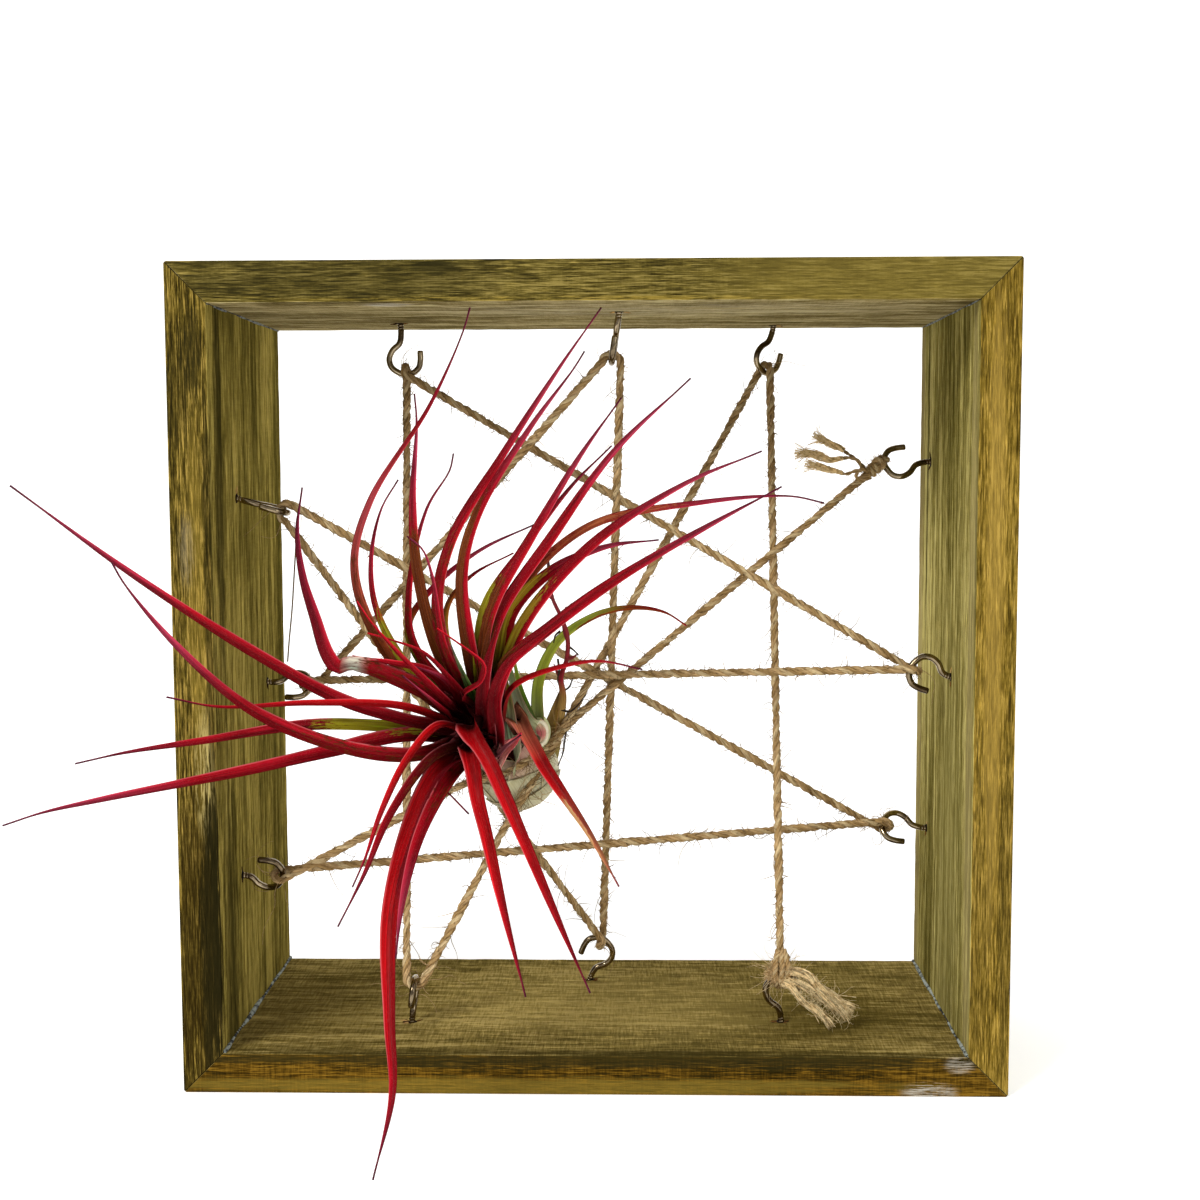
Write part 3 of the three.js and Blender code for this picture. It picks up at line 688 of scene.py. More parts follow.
# Twine
TWINE_RADIUS = 1.5
TURN_RADIUS = WIRE_RADIUS + TWINE_RADIUS + 0.3
LACE_RADIUS = 1.36
PLIES = 3
PLY_PITCH = 9.5
PLY_OFFSET = 0.5
PLY_RADIUS = 0.56
PLY_SIDES = 7
WRAP_ACROSS = [
    (-8, 0, 109), (-16.5, -4, 100.5), (-24, -16.5, 97), (-32.5, -16.5, 93.5), (-42, -14, 90.5),
    (-47, -14, 88),
]
WRAP_RISING = [(-30, -11, 75), (-26.5, -10, 81), (-21.5, -9, 88.5), (-16.5, -4.5, 97), (-9, -0.5, 110)]
# The twine's way from knot to knot: each hook, the side it comes in on, and the wraps round the bulb
LACING = [
    ("hook_right_1", 0), WRAP_ACROSS, ("hook_left_3", 1), ("hook_right_3", 1), ("hook_left_1", -1),
    ("hook_bottom_2", 1), ("hook_top_2", -1), ("hook_left_2", 1), ("hook_right_2", 1), ("hook_top_1", 1),
    ("hook_bottom_1", -1), WRAP_RISING, ("hook_top_3", -1), ("hook_bottom_3", 0),
]
JUTE = tones("c3a374 aa8b5c d2b98c 866b45")
FRESH_JUTE = rgb("ecd6a4")


def hook_turn(name, arrives):
    hook = HOOK[name]
    crest = hook.place(*HOOK_CREST)
    turns = np.radians(np.arange(0, 181, 15))
    return [
        crest + hook.normal * arrives * TURN_RADIUS * math.cos(t) - hook.out * TURN_RADIUS * math.sin(t)
        for t in turns
    ]


def knot_centre(name):
    return HOOK[name].place(HOOK_CREST[0] + TWINE_RADIUS, HOOK_CREST[1])


def jute_fibre():
    """Matt bast fibre: fine strands along each ply, pale where ends stand up and painted brown in the gaps,
    as painted shade.
    """
    shades = Shades("jute_fibre", Specular_IOR_Level=0.05)
    strands = shades.grain(shades.place(), (0.25, 1.6, 1.0), detail=4.0, roughness=0.75)
    tint = shades.tint()
    # Painted shade: darker in the gaps between the strands
    colour = shades.laid(tint, shades.times(tint, (0.36, 0.3, 0.22)), strands, 0.5, 0.6, 0.0, 0.85)
    colour = shades.laid(colour, shades.times(tint, (1.4, 1.4, 1.35)), strands, 0.38, 0.46, 0.7, 0.0)
    patch = shades.noise(shades.spot(), scale=60.0, detail=3.0)
    colour = shades.laid(colour, rgb("80623a"), patch, 0.45, 0.7, 0.0, 0.3)
    return shades.finish(colour, 0.9, shades.bump(strands, 1.0, 0.35))


def loose_fibre():
    """Single fibres, a little glossier than the twine and without its painted shade in the gaps."""
    shades = Shades("loose_fibre", Specular_IOR_Level=0.15)
    patch = shades.noise(shades.spot(), scale=700.0, detail=2.0)
    tint = shades.tint()
    return shades.finish(shades.laid(tint, shades.times(tint, (0.62, 0.55, 0.45)), patch, 0.45, 0.65), 0.7)


def plied(skin, points, radius, step, plies=PLIES, pitch=PLY_PITCH):
    """Twisted twine along points: its thickness and twist wander, and it is painted darker higher up the
    frame, as painted shade.
    """
    spine = respace(points, max(6, int(lengths(points)[-1] / step)))
    travel = lengths(spine)
    _, side, up = carried_frames(spine)
    swell = 1 + 0.09 * np.sin(travel / 7.3 + 1.0) * np.sin(travel / 17.9) + 0.05 * np.sin(travel / 3.1)
    # Painted shade: the twine's tint is darker higher up the frame
    height_shade = np.interp(spine[:, 2], (30, 120, 220), (1.0, 0.88, 0.72))
    for ply in range(plies):
        turn = 2 * math.pi * (travel / pitch + ply / plies) + 0.4 * np.sin(travel / 11.0 + ply)
        centre = spine + turned(side, up, turn) * (radius * PLY_OFFSET * swell)[:, None]
        wobble = draws(len(spine), 0.92, 1.08)
        skin.tube(centre, radius * PLY_RADIUS * swell * wobble, PLY_SIDES, JUTE[ply % 3] * height_shade[:, None])


def whole_route():
    route = []
    for stop in LACING:
        if isinstance(stop, list):
            route.append([np.array(p, float) for p in stop])
        elif stop[1] == 0:
            route.append([knot_centre(stop[0])])
        else:
            route.append(hook_turn(*stop))
    return [p for stop in route for p in stop]


def fibre(skin, start, direction, length, radius, curl, tint, steps=6):
    """One thin loose fibre that wanders as it goes."""
    point = np.array(start, float)
    heading = unit(direction)
    drift = unit(scattered())
    points = [point]
    for _ in range(steps):
        heading = unit(heading + curl * drift)
        drift = unit(drift + 0.6 * scattered())
        point = point + heading * length / steps
        points.append(point)
    taper = np.linspace(1, 0.35, steps + 1)
    skin.tube(np.array(points), radius * taper, 3, tint)


def brush(skin, points, width, count, radius, flare, ragged, glow, depths, locks, twist):
    """A frayed end: fibres lie in locks that turn round each other, and fan out and whiten at the tip."""
    spine = smooth(points, 20)
    _, side, up = carried_frames(spine)
    share = np.linspace(0, 1, len(spine))
    fan = np.interp(share, np.linspace(0, 1, len(width)), width)
    opening = np.clip(share - 0.5, 0, 1) ** 2 * 4 * flare
    for lock in range(locks):
        turn = 2 * math.pi * (lock / locks + twist * share)
        middle = spine + turned(side, up, turn) * (fan * 0.5)[:, None]
        lock_tone = (JUTE[(0, 2, 1, 2)[lock % 4]] + FRESH_JUTE) / 2 * CHANCE.uniform(0.85, 1.0) * glow
        for _ in range(count // locks):
            angle, reach = CHANCE.uniform(0, 2 * math.pi), CHANCE.uniform(0, 1) ** 0.7
            turn = angle + CHANCE.uniform(-1.5, 1.5) * share
            wave, rate, phase = CHANCE.uniform(0.1, 0.5), CHANCE.uniform(8, 22), CHANCE.uniform(0, 6)
            away = fan * 0.42 * reach + opening * CHANCE.gauss(0.5, 0.8) * (0.3 + reach)
            away = away + wave * np.sin(phase + share * rate)
            kept = max(6, int(len(spine) * (1 - ragged * CHANCE.random() ** 2)))
            line = (middle + turned(side, up, turn) * away[:, None])[:kept]
            tint = lock_tone * CHANCE.choice(depths)
            tint = tint * min(1, 0.92 / tint.max())
            pale = np.clip(share[:kept] * 1.8 - 0.8, 0, 1)[:, None] * CHANCE.uniform(0.3, 0.9)
            skin.tube(line, radius * np.linspace(1, 0.6, kept), 3, toward(tint, FRESH_JUTE, pale))


jute = jute_fibre()
hair = loose_fibre()
run = np.array(whole_route())
twine = Skin()
plied(twine, run, LACE_RADIUS, step=1.0)


def coil(centre, axis, radius, turns, advance, thickness=0.95):
    """A short coil of twine round an axis, as part of a knot."""
    axis = unit(axis)
    side = across((0.3, 1, 0.2), axis)
    up = np.cross(axis, side)
    t = np.linspace(0, 2 * math.pi * turns, int(14 * turns))
    lift = (t / t[-1] - 0.5) * advance
    turning = side * (radius * np.cos(t))[:, None] + up * (radius * np.sin(t))[:, None]
    plied(twine, centre + turning + axis * lift[:, None], thickness, **KNOT_PLIES)


KNOT_PLIES = {"pitch": 4.5, "step": 0.5}
first_knot = knot_centre("hook_right_1")
first_way = unit(run[1] - run[0])
first_eye = HOOK["hook_right_1"]
# Each coil's middle, axis, radius, turns, how far it climbs, and how thick its twine is
coil(first_knot + first_way * 3.6, first_way, 1.6, 2.2, 4.4)
coil(first_knot - first_way * 1.2, first_eye.side + 0.3 * first_eye.out, 1.9, 1.6, 2.4)
coil(first_knot + first_way * 0.8 + np.array([0, -1.6, 0.6]), (0.4, 1, 0.3), 1.7, 1.2, 1.0, 0.9)
last_knot = knot_centre("hook_bottom_3")
last_way = unit(run[-2] - run[-1])
last_eye = HOOK["hook_bottom_3"]
coil(last_knot + last_way * 3.2, last_way + np.array([0.5, 0, 0]), 1.8, 1.7, 4.5, 1.0)
coil(last_knot - last_way * 1.8, last_eye.side + 0.4 * last_eye.out, 2.2, 1.8, 3.2, 1.0)
# Three turns over the front of the last knot: how far each stands aside, forward and up along its way
OVER = [(0.5, -0.6, 7.2), (1, -2.2, 4.0), (1.2, -2.9, 0.5), (1, -2.3, -3.2), (0.6, 0.2, -5.2)]
for shift in (-1.7, 0.2, 1.9):
    over = smooth([last_knot + np.array((shift * aside, y, z)) for aside, y, z in OVER], 16)
    plied(twine, over, 0.9, **KNOT_PLIES)
twine.piece("twine_plies", jute, "jute", "twine")

# Frayed ends: thin plies at the first knot, a doubled thick tail at the last one
# Each one's twisted part, its frayed part, the widths along that, and how many fibres it has
PLY_TAILS = [
    ([(92.5, 26, 191), (90.1, 26, 193.9), (87.6, 26, 195.9), (85.1, 26, 197.6), (83.2, 26, 199)],
     [(84.6, 26, 198), (83.2, 26, 199), (80.2, 26, 200.3), (77.3, 26, 201.7), (73.2, 26, 203.8)],
     (0.6, 1.3, 1.5, 1.4, 1.3), 110),
    ([(92.7, 24, 191.2), (90.3, 24, 192.5), (89.3, 24, 194.4), (86.8, 24, 195.6), (83, 24, 195.4)],
     [(84, 24, 195.5), (80, 24, 194.9), (77.1, 24, 195.9), (72, 24, 197.1), (66.6, 24, 197)],
     (0.5, 1.1, 1.5, 1.7, 1.5), 130),
    ([(92.5, 22, 190.8), (90.5, 22, 191.7), (87.6, 22, 191), (85.1, 22, 190.1), (82.7, 22, 190.5)],
     [(83.6, 22, 190.3), (80.3, 22, 191.5), (77.9, 22, 192), (74.9, 22, 192.7), (70, 22, 193.5)],
     (0.45, 1.0, 1.3, 1.3, 1.1), 95),
    ([(92.5, 23, 191.6), (89.6, 22.5, 191.2), (88.2, 22.3, 189.4), (89.8, 22.3, 188), (92.6, 22.6, 188.6)],
     None, None, 0),
]
THICK_TAILS = [
    ([(60, -18.5, 29.5), (65, -20.5, 30.3), (68.7, -21, 28.9), (71, -21.3, 26.5), (74.2, -21.6, 23.7),
      (77.5, -22, 21.4), (81.1, -22, 19), (84.2, -22, 17.2)],
     (1.0, 1.5, 1.5, 1.6, 1.8), 170),
    ([(60.5, -19, 27.5), (66.8, -22, 26.1), (70.5, -22, 24.3), (73.2, -22.5, 22.2), (76.5, -22.5, 20),
      (79.7, -22.5, 17.6), (82.2, -22.5, 15.8)],
     (0.9, 1.3, 1.5, 1.5, 1.7), 130),
    ([(60.5, -19.5, 26), (63.1, -22, 25.4), (65.2, -23.6, 23), (67.5, -24, 20.8), (70.2, -24.3, 19.1),
      (73, -24.6, 16.8), (74.9, -25, 14.6), (76.4, -25, 12.8)],
     (0.8, 0.9, 1.2, 1.5, 1.7), 120),
]
THIN_BRUSH = {
    "radius": 0.16, "flare": 2.8, "ragged": 0.55, "glow": 2.4, "depths": (0.5, 0.75, 0.95, 1.1, 1.3),
    "locks": 3, "twist": 0.5,
}
THICK_BRUSH = {
    "radius": 0.22, "flare": 1.6, "ragged": 0.4, "glow": 1.7, "depths": (0.3, 0.5, 0.8, 1.05, 1.3),
    "locks": 4, "twist": 1.1,
}
tails, ends = Skin(), Skin()
for twisted, frayed, width, count in PLY_TAILS:
    plied(tails, smooth(twisted, 20), 0.62, step=0.7, plies=2, pitch=5)
    if frayed:
        brush(ends, frayed, width, count, **THIN_BRUSH)
for path, width, count in THICK_TAILS:
    brush(ends, path, width, count, **THICK_BRUSH)
tails.piece("twine_tails", jute, "jute", "twine")
ends.piece("twine_frayed", hair, "jute", "twine")


def fuzz_along(skin, points, per_mm, reach, radius, curl):
    """Short loose fibres that stand off the twine, with a long one here and there."""
    points = respace(points, int(lengths(points)[-1]))
    tangents, side, up = carried_frames(points)
    for point, tangent, a, b in zip(points, tangents, side, up):
        if CHANCE.random() > per_mm:
            continue
        turn = CHANCE.uniform(0, 2 * math.pi)
        out = a * math.cos(turn) + b * math.sin(turn)
        lean = tangent * CHANCE.choice((-1, 1)) * CHANCE.uniform(0.2, 2.0)
        tint = CHANCE.choice((JUTE[0], JUTE[1], JUTE[3])) * CHANCE.uniform(0.6, 0.9)
        length = reach * CHANCE.uniform(0.4, 1.0) * (2.6 if CHANCE.random() < 0.1 else 1)
        fibre(skin, point + out * 0.9, out + lean, length, radius, curl, tint, steps=5)


# Fibres for each millimetre, their usual length, radius and curl
fuzz = Skin()
fuzz_along(fuzz, run, 0.7, 5.0, 0.15, 0.25)
fuzz_along(fuzz, run[::-1], 0.9, 3.0, 0.17, 0.5)
for wrap in (WRAP_ACROSS, WRAP_RISING) * 3:
    fuzz_along(fuzz, np.array(wrap, float), 0.9, 8.0, 0.14, 0.4)
for _ in range(60):
    at = CHANCE.randrange(len(run) - 1)
    start = toward(run[at], run[at + 1], CHANCE.random())
    fibre(fuzz, start, scattered(), CHANCE.uniform(8, 24), 0.13, 0.35, JUTE[0] * 0.7, steps=14)
for knot_place, amount, shortest, longest in ((first_knot, 60, 2, 5), (last_knot, 130, 3, 12)):
    for _ in range(amount):
        away = scattered()
        length = CHANCE.uniform(shortest, longest)
        fibre(fuzz, knot_place + unit(away) * 1.8, away, length, 0.1, 0.3, JUTE[2])
# The tuft of the doubled end that stands out on the knot's left, and the curls round the thick tail
for _ in range(150):
    away = unit(scattered((-0.9, -0.5, 0), (0.7, 0.7, 0.8)))
    start = np.array([57.5, -18.5, 28.5]) + away * CHANCE.uniform(0.4, 1.6)
    fibre(fuzz, start, away, CHANCE.uniform(1.2, 3.4), 0.13, 0.5, JUTE[CHANCE.choice((0, 2))] * 1.1)
for _ in range(230):
    start = np.array([CHANCE.uniform(63, 82), CHANCE.uniform(-26, -20), 0.0])
    start[2] = np.interp(start[0], (63, 82), (28, 16.5)) + CHANCE.gauss(0, 1.8)
    heading = scattered((0.2, -0.3, -0.2), (1, 0.8, 1))
    fibre(fuzz, start, heading, CHANCE.uniform(2.5, 7), 0.1, 0.45, FRESH_JUTE * CHANCE.uniform(0.6, 1.0))
# Loose fibres tangled over the front of the bulb, which sits in the middle of the web
WEB_MIDDLE = np.array([-27, 7, 89.0])
WEB_REACH = 13.4
for _ in range(80):
    away = unit([CHANCE.gauss(0.1, 0.45), -1, CHANCE.gauss(0.05, 0.35)])
    heading = np.cross(away, scattered()) + away * 0.1
    tone = JUTE[CHANCE.choice((0, 1, 2))] * CHANCE.uniform(0.7, 1.3)
    fibre(fuzz, WEB_MIDDLE + away * WEB_REACH, heading, CHANCE.uniform(3, 8), 0.15, 0.5, tone, steps=9)
# One long thread hangs in front of the left board
THREAD = [(-99.7, 2, 167.3), (-100.8, 3, 155.7), (-101.6, 3, 145.7), (-102.5, 2, 135.7), (-103, 1, 128.3)]
fuzz.tube(smooth(THREAD, 30), 0.26, 5, JUTE[3] * 0.75)
fuzz.piece("twine_fibres", hair, "jute", "twine")

# Plant: the bulb sits in the web and the leaves open round the heart, in front of it
BULB = np.array([-27, 8, 91.0])
HEART = np.array([-37, -34, 115.0])
STEM_LENGTH = np.linalg.norm(HEART - BULB)
STEM_AXIS = unit(HEART - BULB)
STEM_SIDE = across((0, 0, 1), STEM_AXIS)
STEM_OVER = np.cross(STEM_AXIS, STEM_SIDE)
STEM_RADII = np.array([0, 5, 10, 13, 13.2, 11.5, 9.5, 8, 7.6])
STEM_PLACES = np.array([-13, -12, -8, -2, 5, 13, 22, 32, 38])
BLADE_THICKNESS = 0.6
BLADE_COLUMNS = 11
ROW_STEP = 1.9
# How far the veins are shifted from leaf to leaf, along and across, and from upper side to underside
VEIN_SHIFT = (97, 13)
UNDERSIDE_SHIFT = 40
# Each leaf is rooted this far back along the stem, not below a lowest place, and this far from its axis
SHEATH_BACK = 14
SHEATH_START = 10
SHEATH_OFFSET = 5
TIP_WIDTH = 0.55
# A pale rosy line along one margin: partly the leaf's own edge, partly a painted highlight
ROSE_MARGIN_AND_HIGHLIGHT = 0.66
# How far from its root a leaf clasps the stem, is more deeply channelled and is paler below
CLASP_REACH = 15
CHANNEL_REACH = 26
PALE_REACH = 11
# How far the horns of a cupped leaf run along it, and how strong and wide the shade in the heart is
HORN_REACH = 3.0
HEART_SHADE = 0.86
HEART_REACH = 15

CRIMSON = rgb("9b0818")
SCARLET = rgb("ae0810")
WINE = rgb("650811")
BLOOD = rgb("3c0508")
BROWN = rgb("5c280b")
RUST = rgb("934317")
OLIVE_LEAF = rgb("8a8018")
GREEN = rgb("bccb4a")
DEEP_GREEN = rgb("6c9a2a")
SAGE = rgb("a2a782")
ROSE = rgb("d8767a")
PLUM = rgb("561630")
TIP_RED = rgb("a02c44")

RED_LEAF = [(0, WINE), (0.3, CRIMSON), (0.62, CRIMSON), (0.86, TIP_RED), (1, PLUM)]
BRIGHT_LEAF = [(0, WINE), (0.25, SCARLET), (0.6, SCARLET), (0.85, CRIMSON), (1, PLUM)]
DARK_LEAF = [(0, BLOOD), (0.35, WINE), (0.7, CRIMSON), (1, PLUM)]
PALE_LEAF = [(0, WINE), (0.3, RUST * 0.8), (0.55, rgb("a83a40")), (0.75, CRIMSON), (1, PLUM)]
GREEN_LEAF = [(0, SAGE), (0.2, GREEN), (0.58, GREEN), (0.74, RUST), (0.86, CRIMSON), (1, CRIMSON)]
THIN_PLUM = [(0, DEEP_GREEN), (0.35, OLIVE_LEAF), (0.5, CRIMSON), (0.8, TIP_RED * 0.8), (1, PLUM)]
CURLED = [(0, WINE), (0.5, CRIMSON), (1, CRIMSON * 1.5)]
BONE = rgb("c9c2ae")
FOLDED = [
    (0, WINE), (0.3, CRIMSON), (0.455, CRIMSON), (0.468, BONE), (0.5, BONE), (0.513, CRIMSON), (1, PLUM),
]

# A flush is a second colour: the side of the blade, the colour, its start and end, and its strength
FEW_FLECKS = (0, BROWN, 0.0, 0.55, 0.42)
# Each leaf's width, its colours from root to tip, its flush, its cup, and the path of its middle
LEAVES = [
    # rising
    (3.6, PALE_LEAF, FEW_FLECKS, 0,
     [(-57, -30, 125), (-69, -38, 146), (-72, -43, 164), (-66, -47, 183), (-48, -48, 211), (-38, -47, 233),
      (-36, -46, 240)]),
    (3.2, RED_LEAF, (0, OLIVE_LEAF * 0.8, 0.25, 0.6, 0.6), 0,
     [(-57, -33, 130), (-66, -41, 150), (-67, -43, 165), (-64, -42, 180), (-59, -40, 189)]),
    (4.6, RED_LEAF, (0, BROWN, 0.0, 0.62, 0.95), 0,
     [(-48, -35, 137), (-53, -43, 162), (-54, -44, 182), (-53, -41, 206), (-54, -38, 215)]),
    (3.0, RED_LEAF, FEW_FLECKS, 0,
     [(-56, -29, 137), (-57, -33, 154), (-51, -35, 180), (-44, -33, 192), (-43, -32, 197)]),
    (4.4, RED_LEAF, FEW_FLECKS, 0,
     [(-45, -35, 135), (-47, -41, 152), (-42, -45, 171), (-27, -49, 195), (-8, -48, 224), (3, -44, 240)]),
    (5.0, RED_LEAF, (-1, BROWN, 0.15, 0.6, 0.9), 0,
     [(-38, -37, 138), (-39, -45, 160), (-34, -50, 178), (-18, -51, 204), (-5, -48, 222), (-2, -46, 227)]),
    (3.4, THIN_PLUM, FEW_FLECKS, 0,
     [(-55, -24, 132), (-58, -27, 143), (-50, -30, 155), (-35, -33, 167), (-16, -36, 176)]),
    (3.0, [(0, DEEP_GREEN), (0.35, OLIVE_LEAF), (0.65, RUST), (0.8, CRIMSON), (1, CRIMSON)], FEW_FLECKS, 0,
     [(-46, -23, 135), (-46, -26, 149), (-38, -28, 159), (-25, -28, 166)]),
    (2.8, RED_LEAF, FEW_FLECKS, 0, [(-45, -42, 138), (-48, -47, 160), (-51, -46, 168), (-56, -44, 172)]),
    # leaning to the right
    (4.8, RED_LEAF, (-1, BROWN, 0.1, 0.5, 0.7), 0,
     [(-33, -38, 137), (-29, -46, 152), (-17, -52, 173), (-3, -54, 196), (9, -52, 213)]),
    (4.2, DARK_LEAF, (-1, OLIVE_LEAF, 0.15, 0.5, 0.9), 0,
     [(-35, -35, 135), (-32, -41, 151), (-19, -46, 170), (-5, -48, 188), (6, -46, 199)]),
    (5.0, RED_LEAF, (-1, BROWN, 0.0, 0.35, 0.8), 0,
     [(-32, -39, 133), (-27, -46, 149), (-12, -54, 171), (7, -61, 197), (29, -62, 218)]),
    (6.0, RED_LEAF, (-1, rgb("8a7018"), 0.1, 0.62, 0.95), 0,
     [(-28, -33, 134), (-24, -40, 149), (-11, -46, 162), (5, -49, 169), (20, -50, 171)]),
    (4.0, RED_LEAF, (0, rgb("8e4226"), 0.15, 0.75, 0.6), 0,
     [(-29, -33, 141), (-20, -39, 158), (0, -46, 175), (32, -53, 182), (58, -57, 184), (68, -58, 182)]),
    (5.0, RED_LEAF, (-1, rgb("8a7018"), 0.05, 0.45, 0.75), 0,
     [(-26, -37, 133), (-18, -45, 149), (2, -56, 171), (28, -64, 188), (49, -68, 197)]),
    (5.4, RED_LEAF, (-1, BROWN, 0.0, 0.3, 0.8), 0,
     [(-26, -43, 132), (-13, -53, 144), (8, -64, 160), (34, -73, 176), (54, -76, 187)]),
    (2.8, BRIGHT_LEAF, None, 0, [(-24, -46, 126), (-10, -61, 134), (3, -69, 137), (15, -72, 135)]),
    # reaching to the left
    (4.4, RED_LEAF, None, 0,
     [(-58, -40, 115), (-76, -50, 123), (-98, -61, 138), (-130, -76, 163), (-159, -88, 188)]),
    (5.0, RED_LEAF, FEW_FLECKS, 0,
     [(-56, -46, 105), (-76, -60, 111), (-97, -75, 124), (-115, -86, 144), (-127, -91, 161),
      (-130, -92, 167)]),
    (3.2, BRIGHT_LEAF, None, 0, [(-57, -51, 121), (-82, -64, 124), (-107, -71, 124), (-122, -72, 127)]),
    (4.4, DARK_LEAF, (0, OLIVE_LEAF, 0.1, 0.42, 0.85), 0,
     [(-60, -36, 112), (-86, -49, 115), (-115, -59, 112), (-138, -63, 109), (-152, -64, 106)]),
    (5.2, RED_LEAF, (1, OLIVE_LEAF, 0.05, 0.25, 0.6), 0,
     [(-59, -39, 110), (-80, -51, 107), (-104, -62, 103), (-140, -77, 98), (-156, -81, 95),
      (-166, -84, 92)]),
    # drooping
    (3.8, BRIGHT_LEAF, None, 0,
     [(-46, -50, 115), (-54, -64, 107), (-60, -74, 94), (-64, -78, 82), (-68, -78, 73)]),
    (3.8, DARK_LEAF, FEW_FLECKS, 0, [(-49, -46, 104), (-59, -64, 91), (-65, -75, 76), (-72, -80, 62)]),
    (7.0, BRIGHT_LEAF, (-1, WINE, 0.0, 0.5, 0.9), 0,
     [(-47, -48, 100), (-54, -63, 83), (-57, -78, 65), (-55, -95, 40), (-53, -105, 23), (-57, -115, 3.5)]),
    (5.6, RED_LEAF, FEW_FLECKS, 0, [(-44, -52, 97), (-50, -69, 85), (-53, -84, 69), (-54, -90, 56)]),
    (5.4, BRIGHT_LEAF, None, 0.55,
     [(-37, -43.5, 106.5), (-36.6, -48, 105.6), (-35.6, -51.5, 101.8), (-33.9, -57, 94.6), (-31, -60, 84),
      (-25, -67, 61), (-19, -72, 39)]),
    (5.4, BRIGHT_LEAF, None, 1.3,
     [(-36.5, -44, 114.6), (-36, -49.5, 113.2), (-33.8, -51.5, 109.6), (-30.4, -55, 104.8), (-25, -63, 95.6),
      (-19.9, -70, 86.4), (-9, -75, 62), (0, -80, 43)]),
    (1.6, RED_LEAF, None, 0, [(-46, -49, 97), (-42, -53, 94), (-37, -54, 89)]),
    # small inner leaves, and one that is folded and bent
    (2.4, CURLED, None, 0,
     [(-39, -45, 124), (-33, -51, 129), (-32, -54, 134), (-37, -56, 139), (-46, -54, 145)]),
    (2.2, CURLED, None, 0, [(-43, -47, 129), (-50, -55, 138), (-59, -58, 142), (-66, -58, 144)]),
    (2.8, CURLED, None, 0, [(-48, -51, 127), (-57, -61, 139), (-64, -64, 148), (-68, -64, 154)]),
    (6.4, FOLDED, FEW_FLECKS, 0.4,
     [(-52, -45, 125), (-66, -55, 133), (-71.5, -58, 134.6), (-74.4, -60, 134), (-77, -61, 138),
      (-80.2, -62, 148.7), (-83.6, -63, 161), (-85.3, -62, 174.6), (-83.9, -61, 187)]),
    (4.8, CURLED, None, 0.4, [(-50, -46, 131), (-62, -54, 135), (-71, -56, 137)]),
    (3.0, [(0, DEEP_GREEN), (0.5, DEEP_GREEN), (1, SAGE)], None, 0, [(-40, -35, 128), (-44, -36, 138)]),
    (3.6, RED_LEAF, None, 0, [(-46, -49, 130), (-54, -54, 134)]),
    (2.4, RED_LEAF, None, 0, [(-48, -51, 123), (-56, -56, 131)]),
    (3.0, [(0, SAGE), (0.6, ROSE * 0.8), (1, PLUM)], None, 0.5,
     [(-29, -43, 105), (-26, -44, 108), (-22, -42, 111)]),
]


def side_of(point):
    arm = point - BULB
    return unit(arm - np.dot(arm, STEM_AXIS) * STEM_AXIS)


def shade_at(stops, share):
    """Colours along a row of shares, blended between the stops."""
    places, tones = zip(*stops)
    return np.stack([np.interp(share, places, channel) for channel in zip(*tones)], axis=-1)


def flushed(flush, columns, share):
    """How far a leaf's second colour has spread at each column, at a share of the way to the tip."""
    side, _, start, end, strength = flush
    opened = np.clip((share - start) / 0.14 + 0.5, 0, 1) * np.clip((end - share) / 0.2 + 0.5, 0, 1)
    beside = np.clip(0.5 + side * columns * 1.4, 0, 1) if side else np.ones(len(columns))
    return strength * opened * beside


def heart_light(points, reach):
    """How much of their tint is left to points round the heart, where the leaves shade each other."""
    return 1 - HEART_SHADE * fading(np.linalg.norm(points - HEART, axis=1), reach)


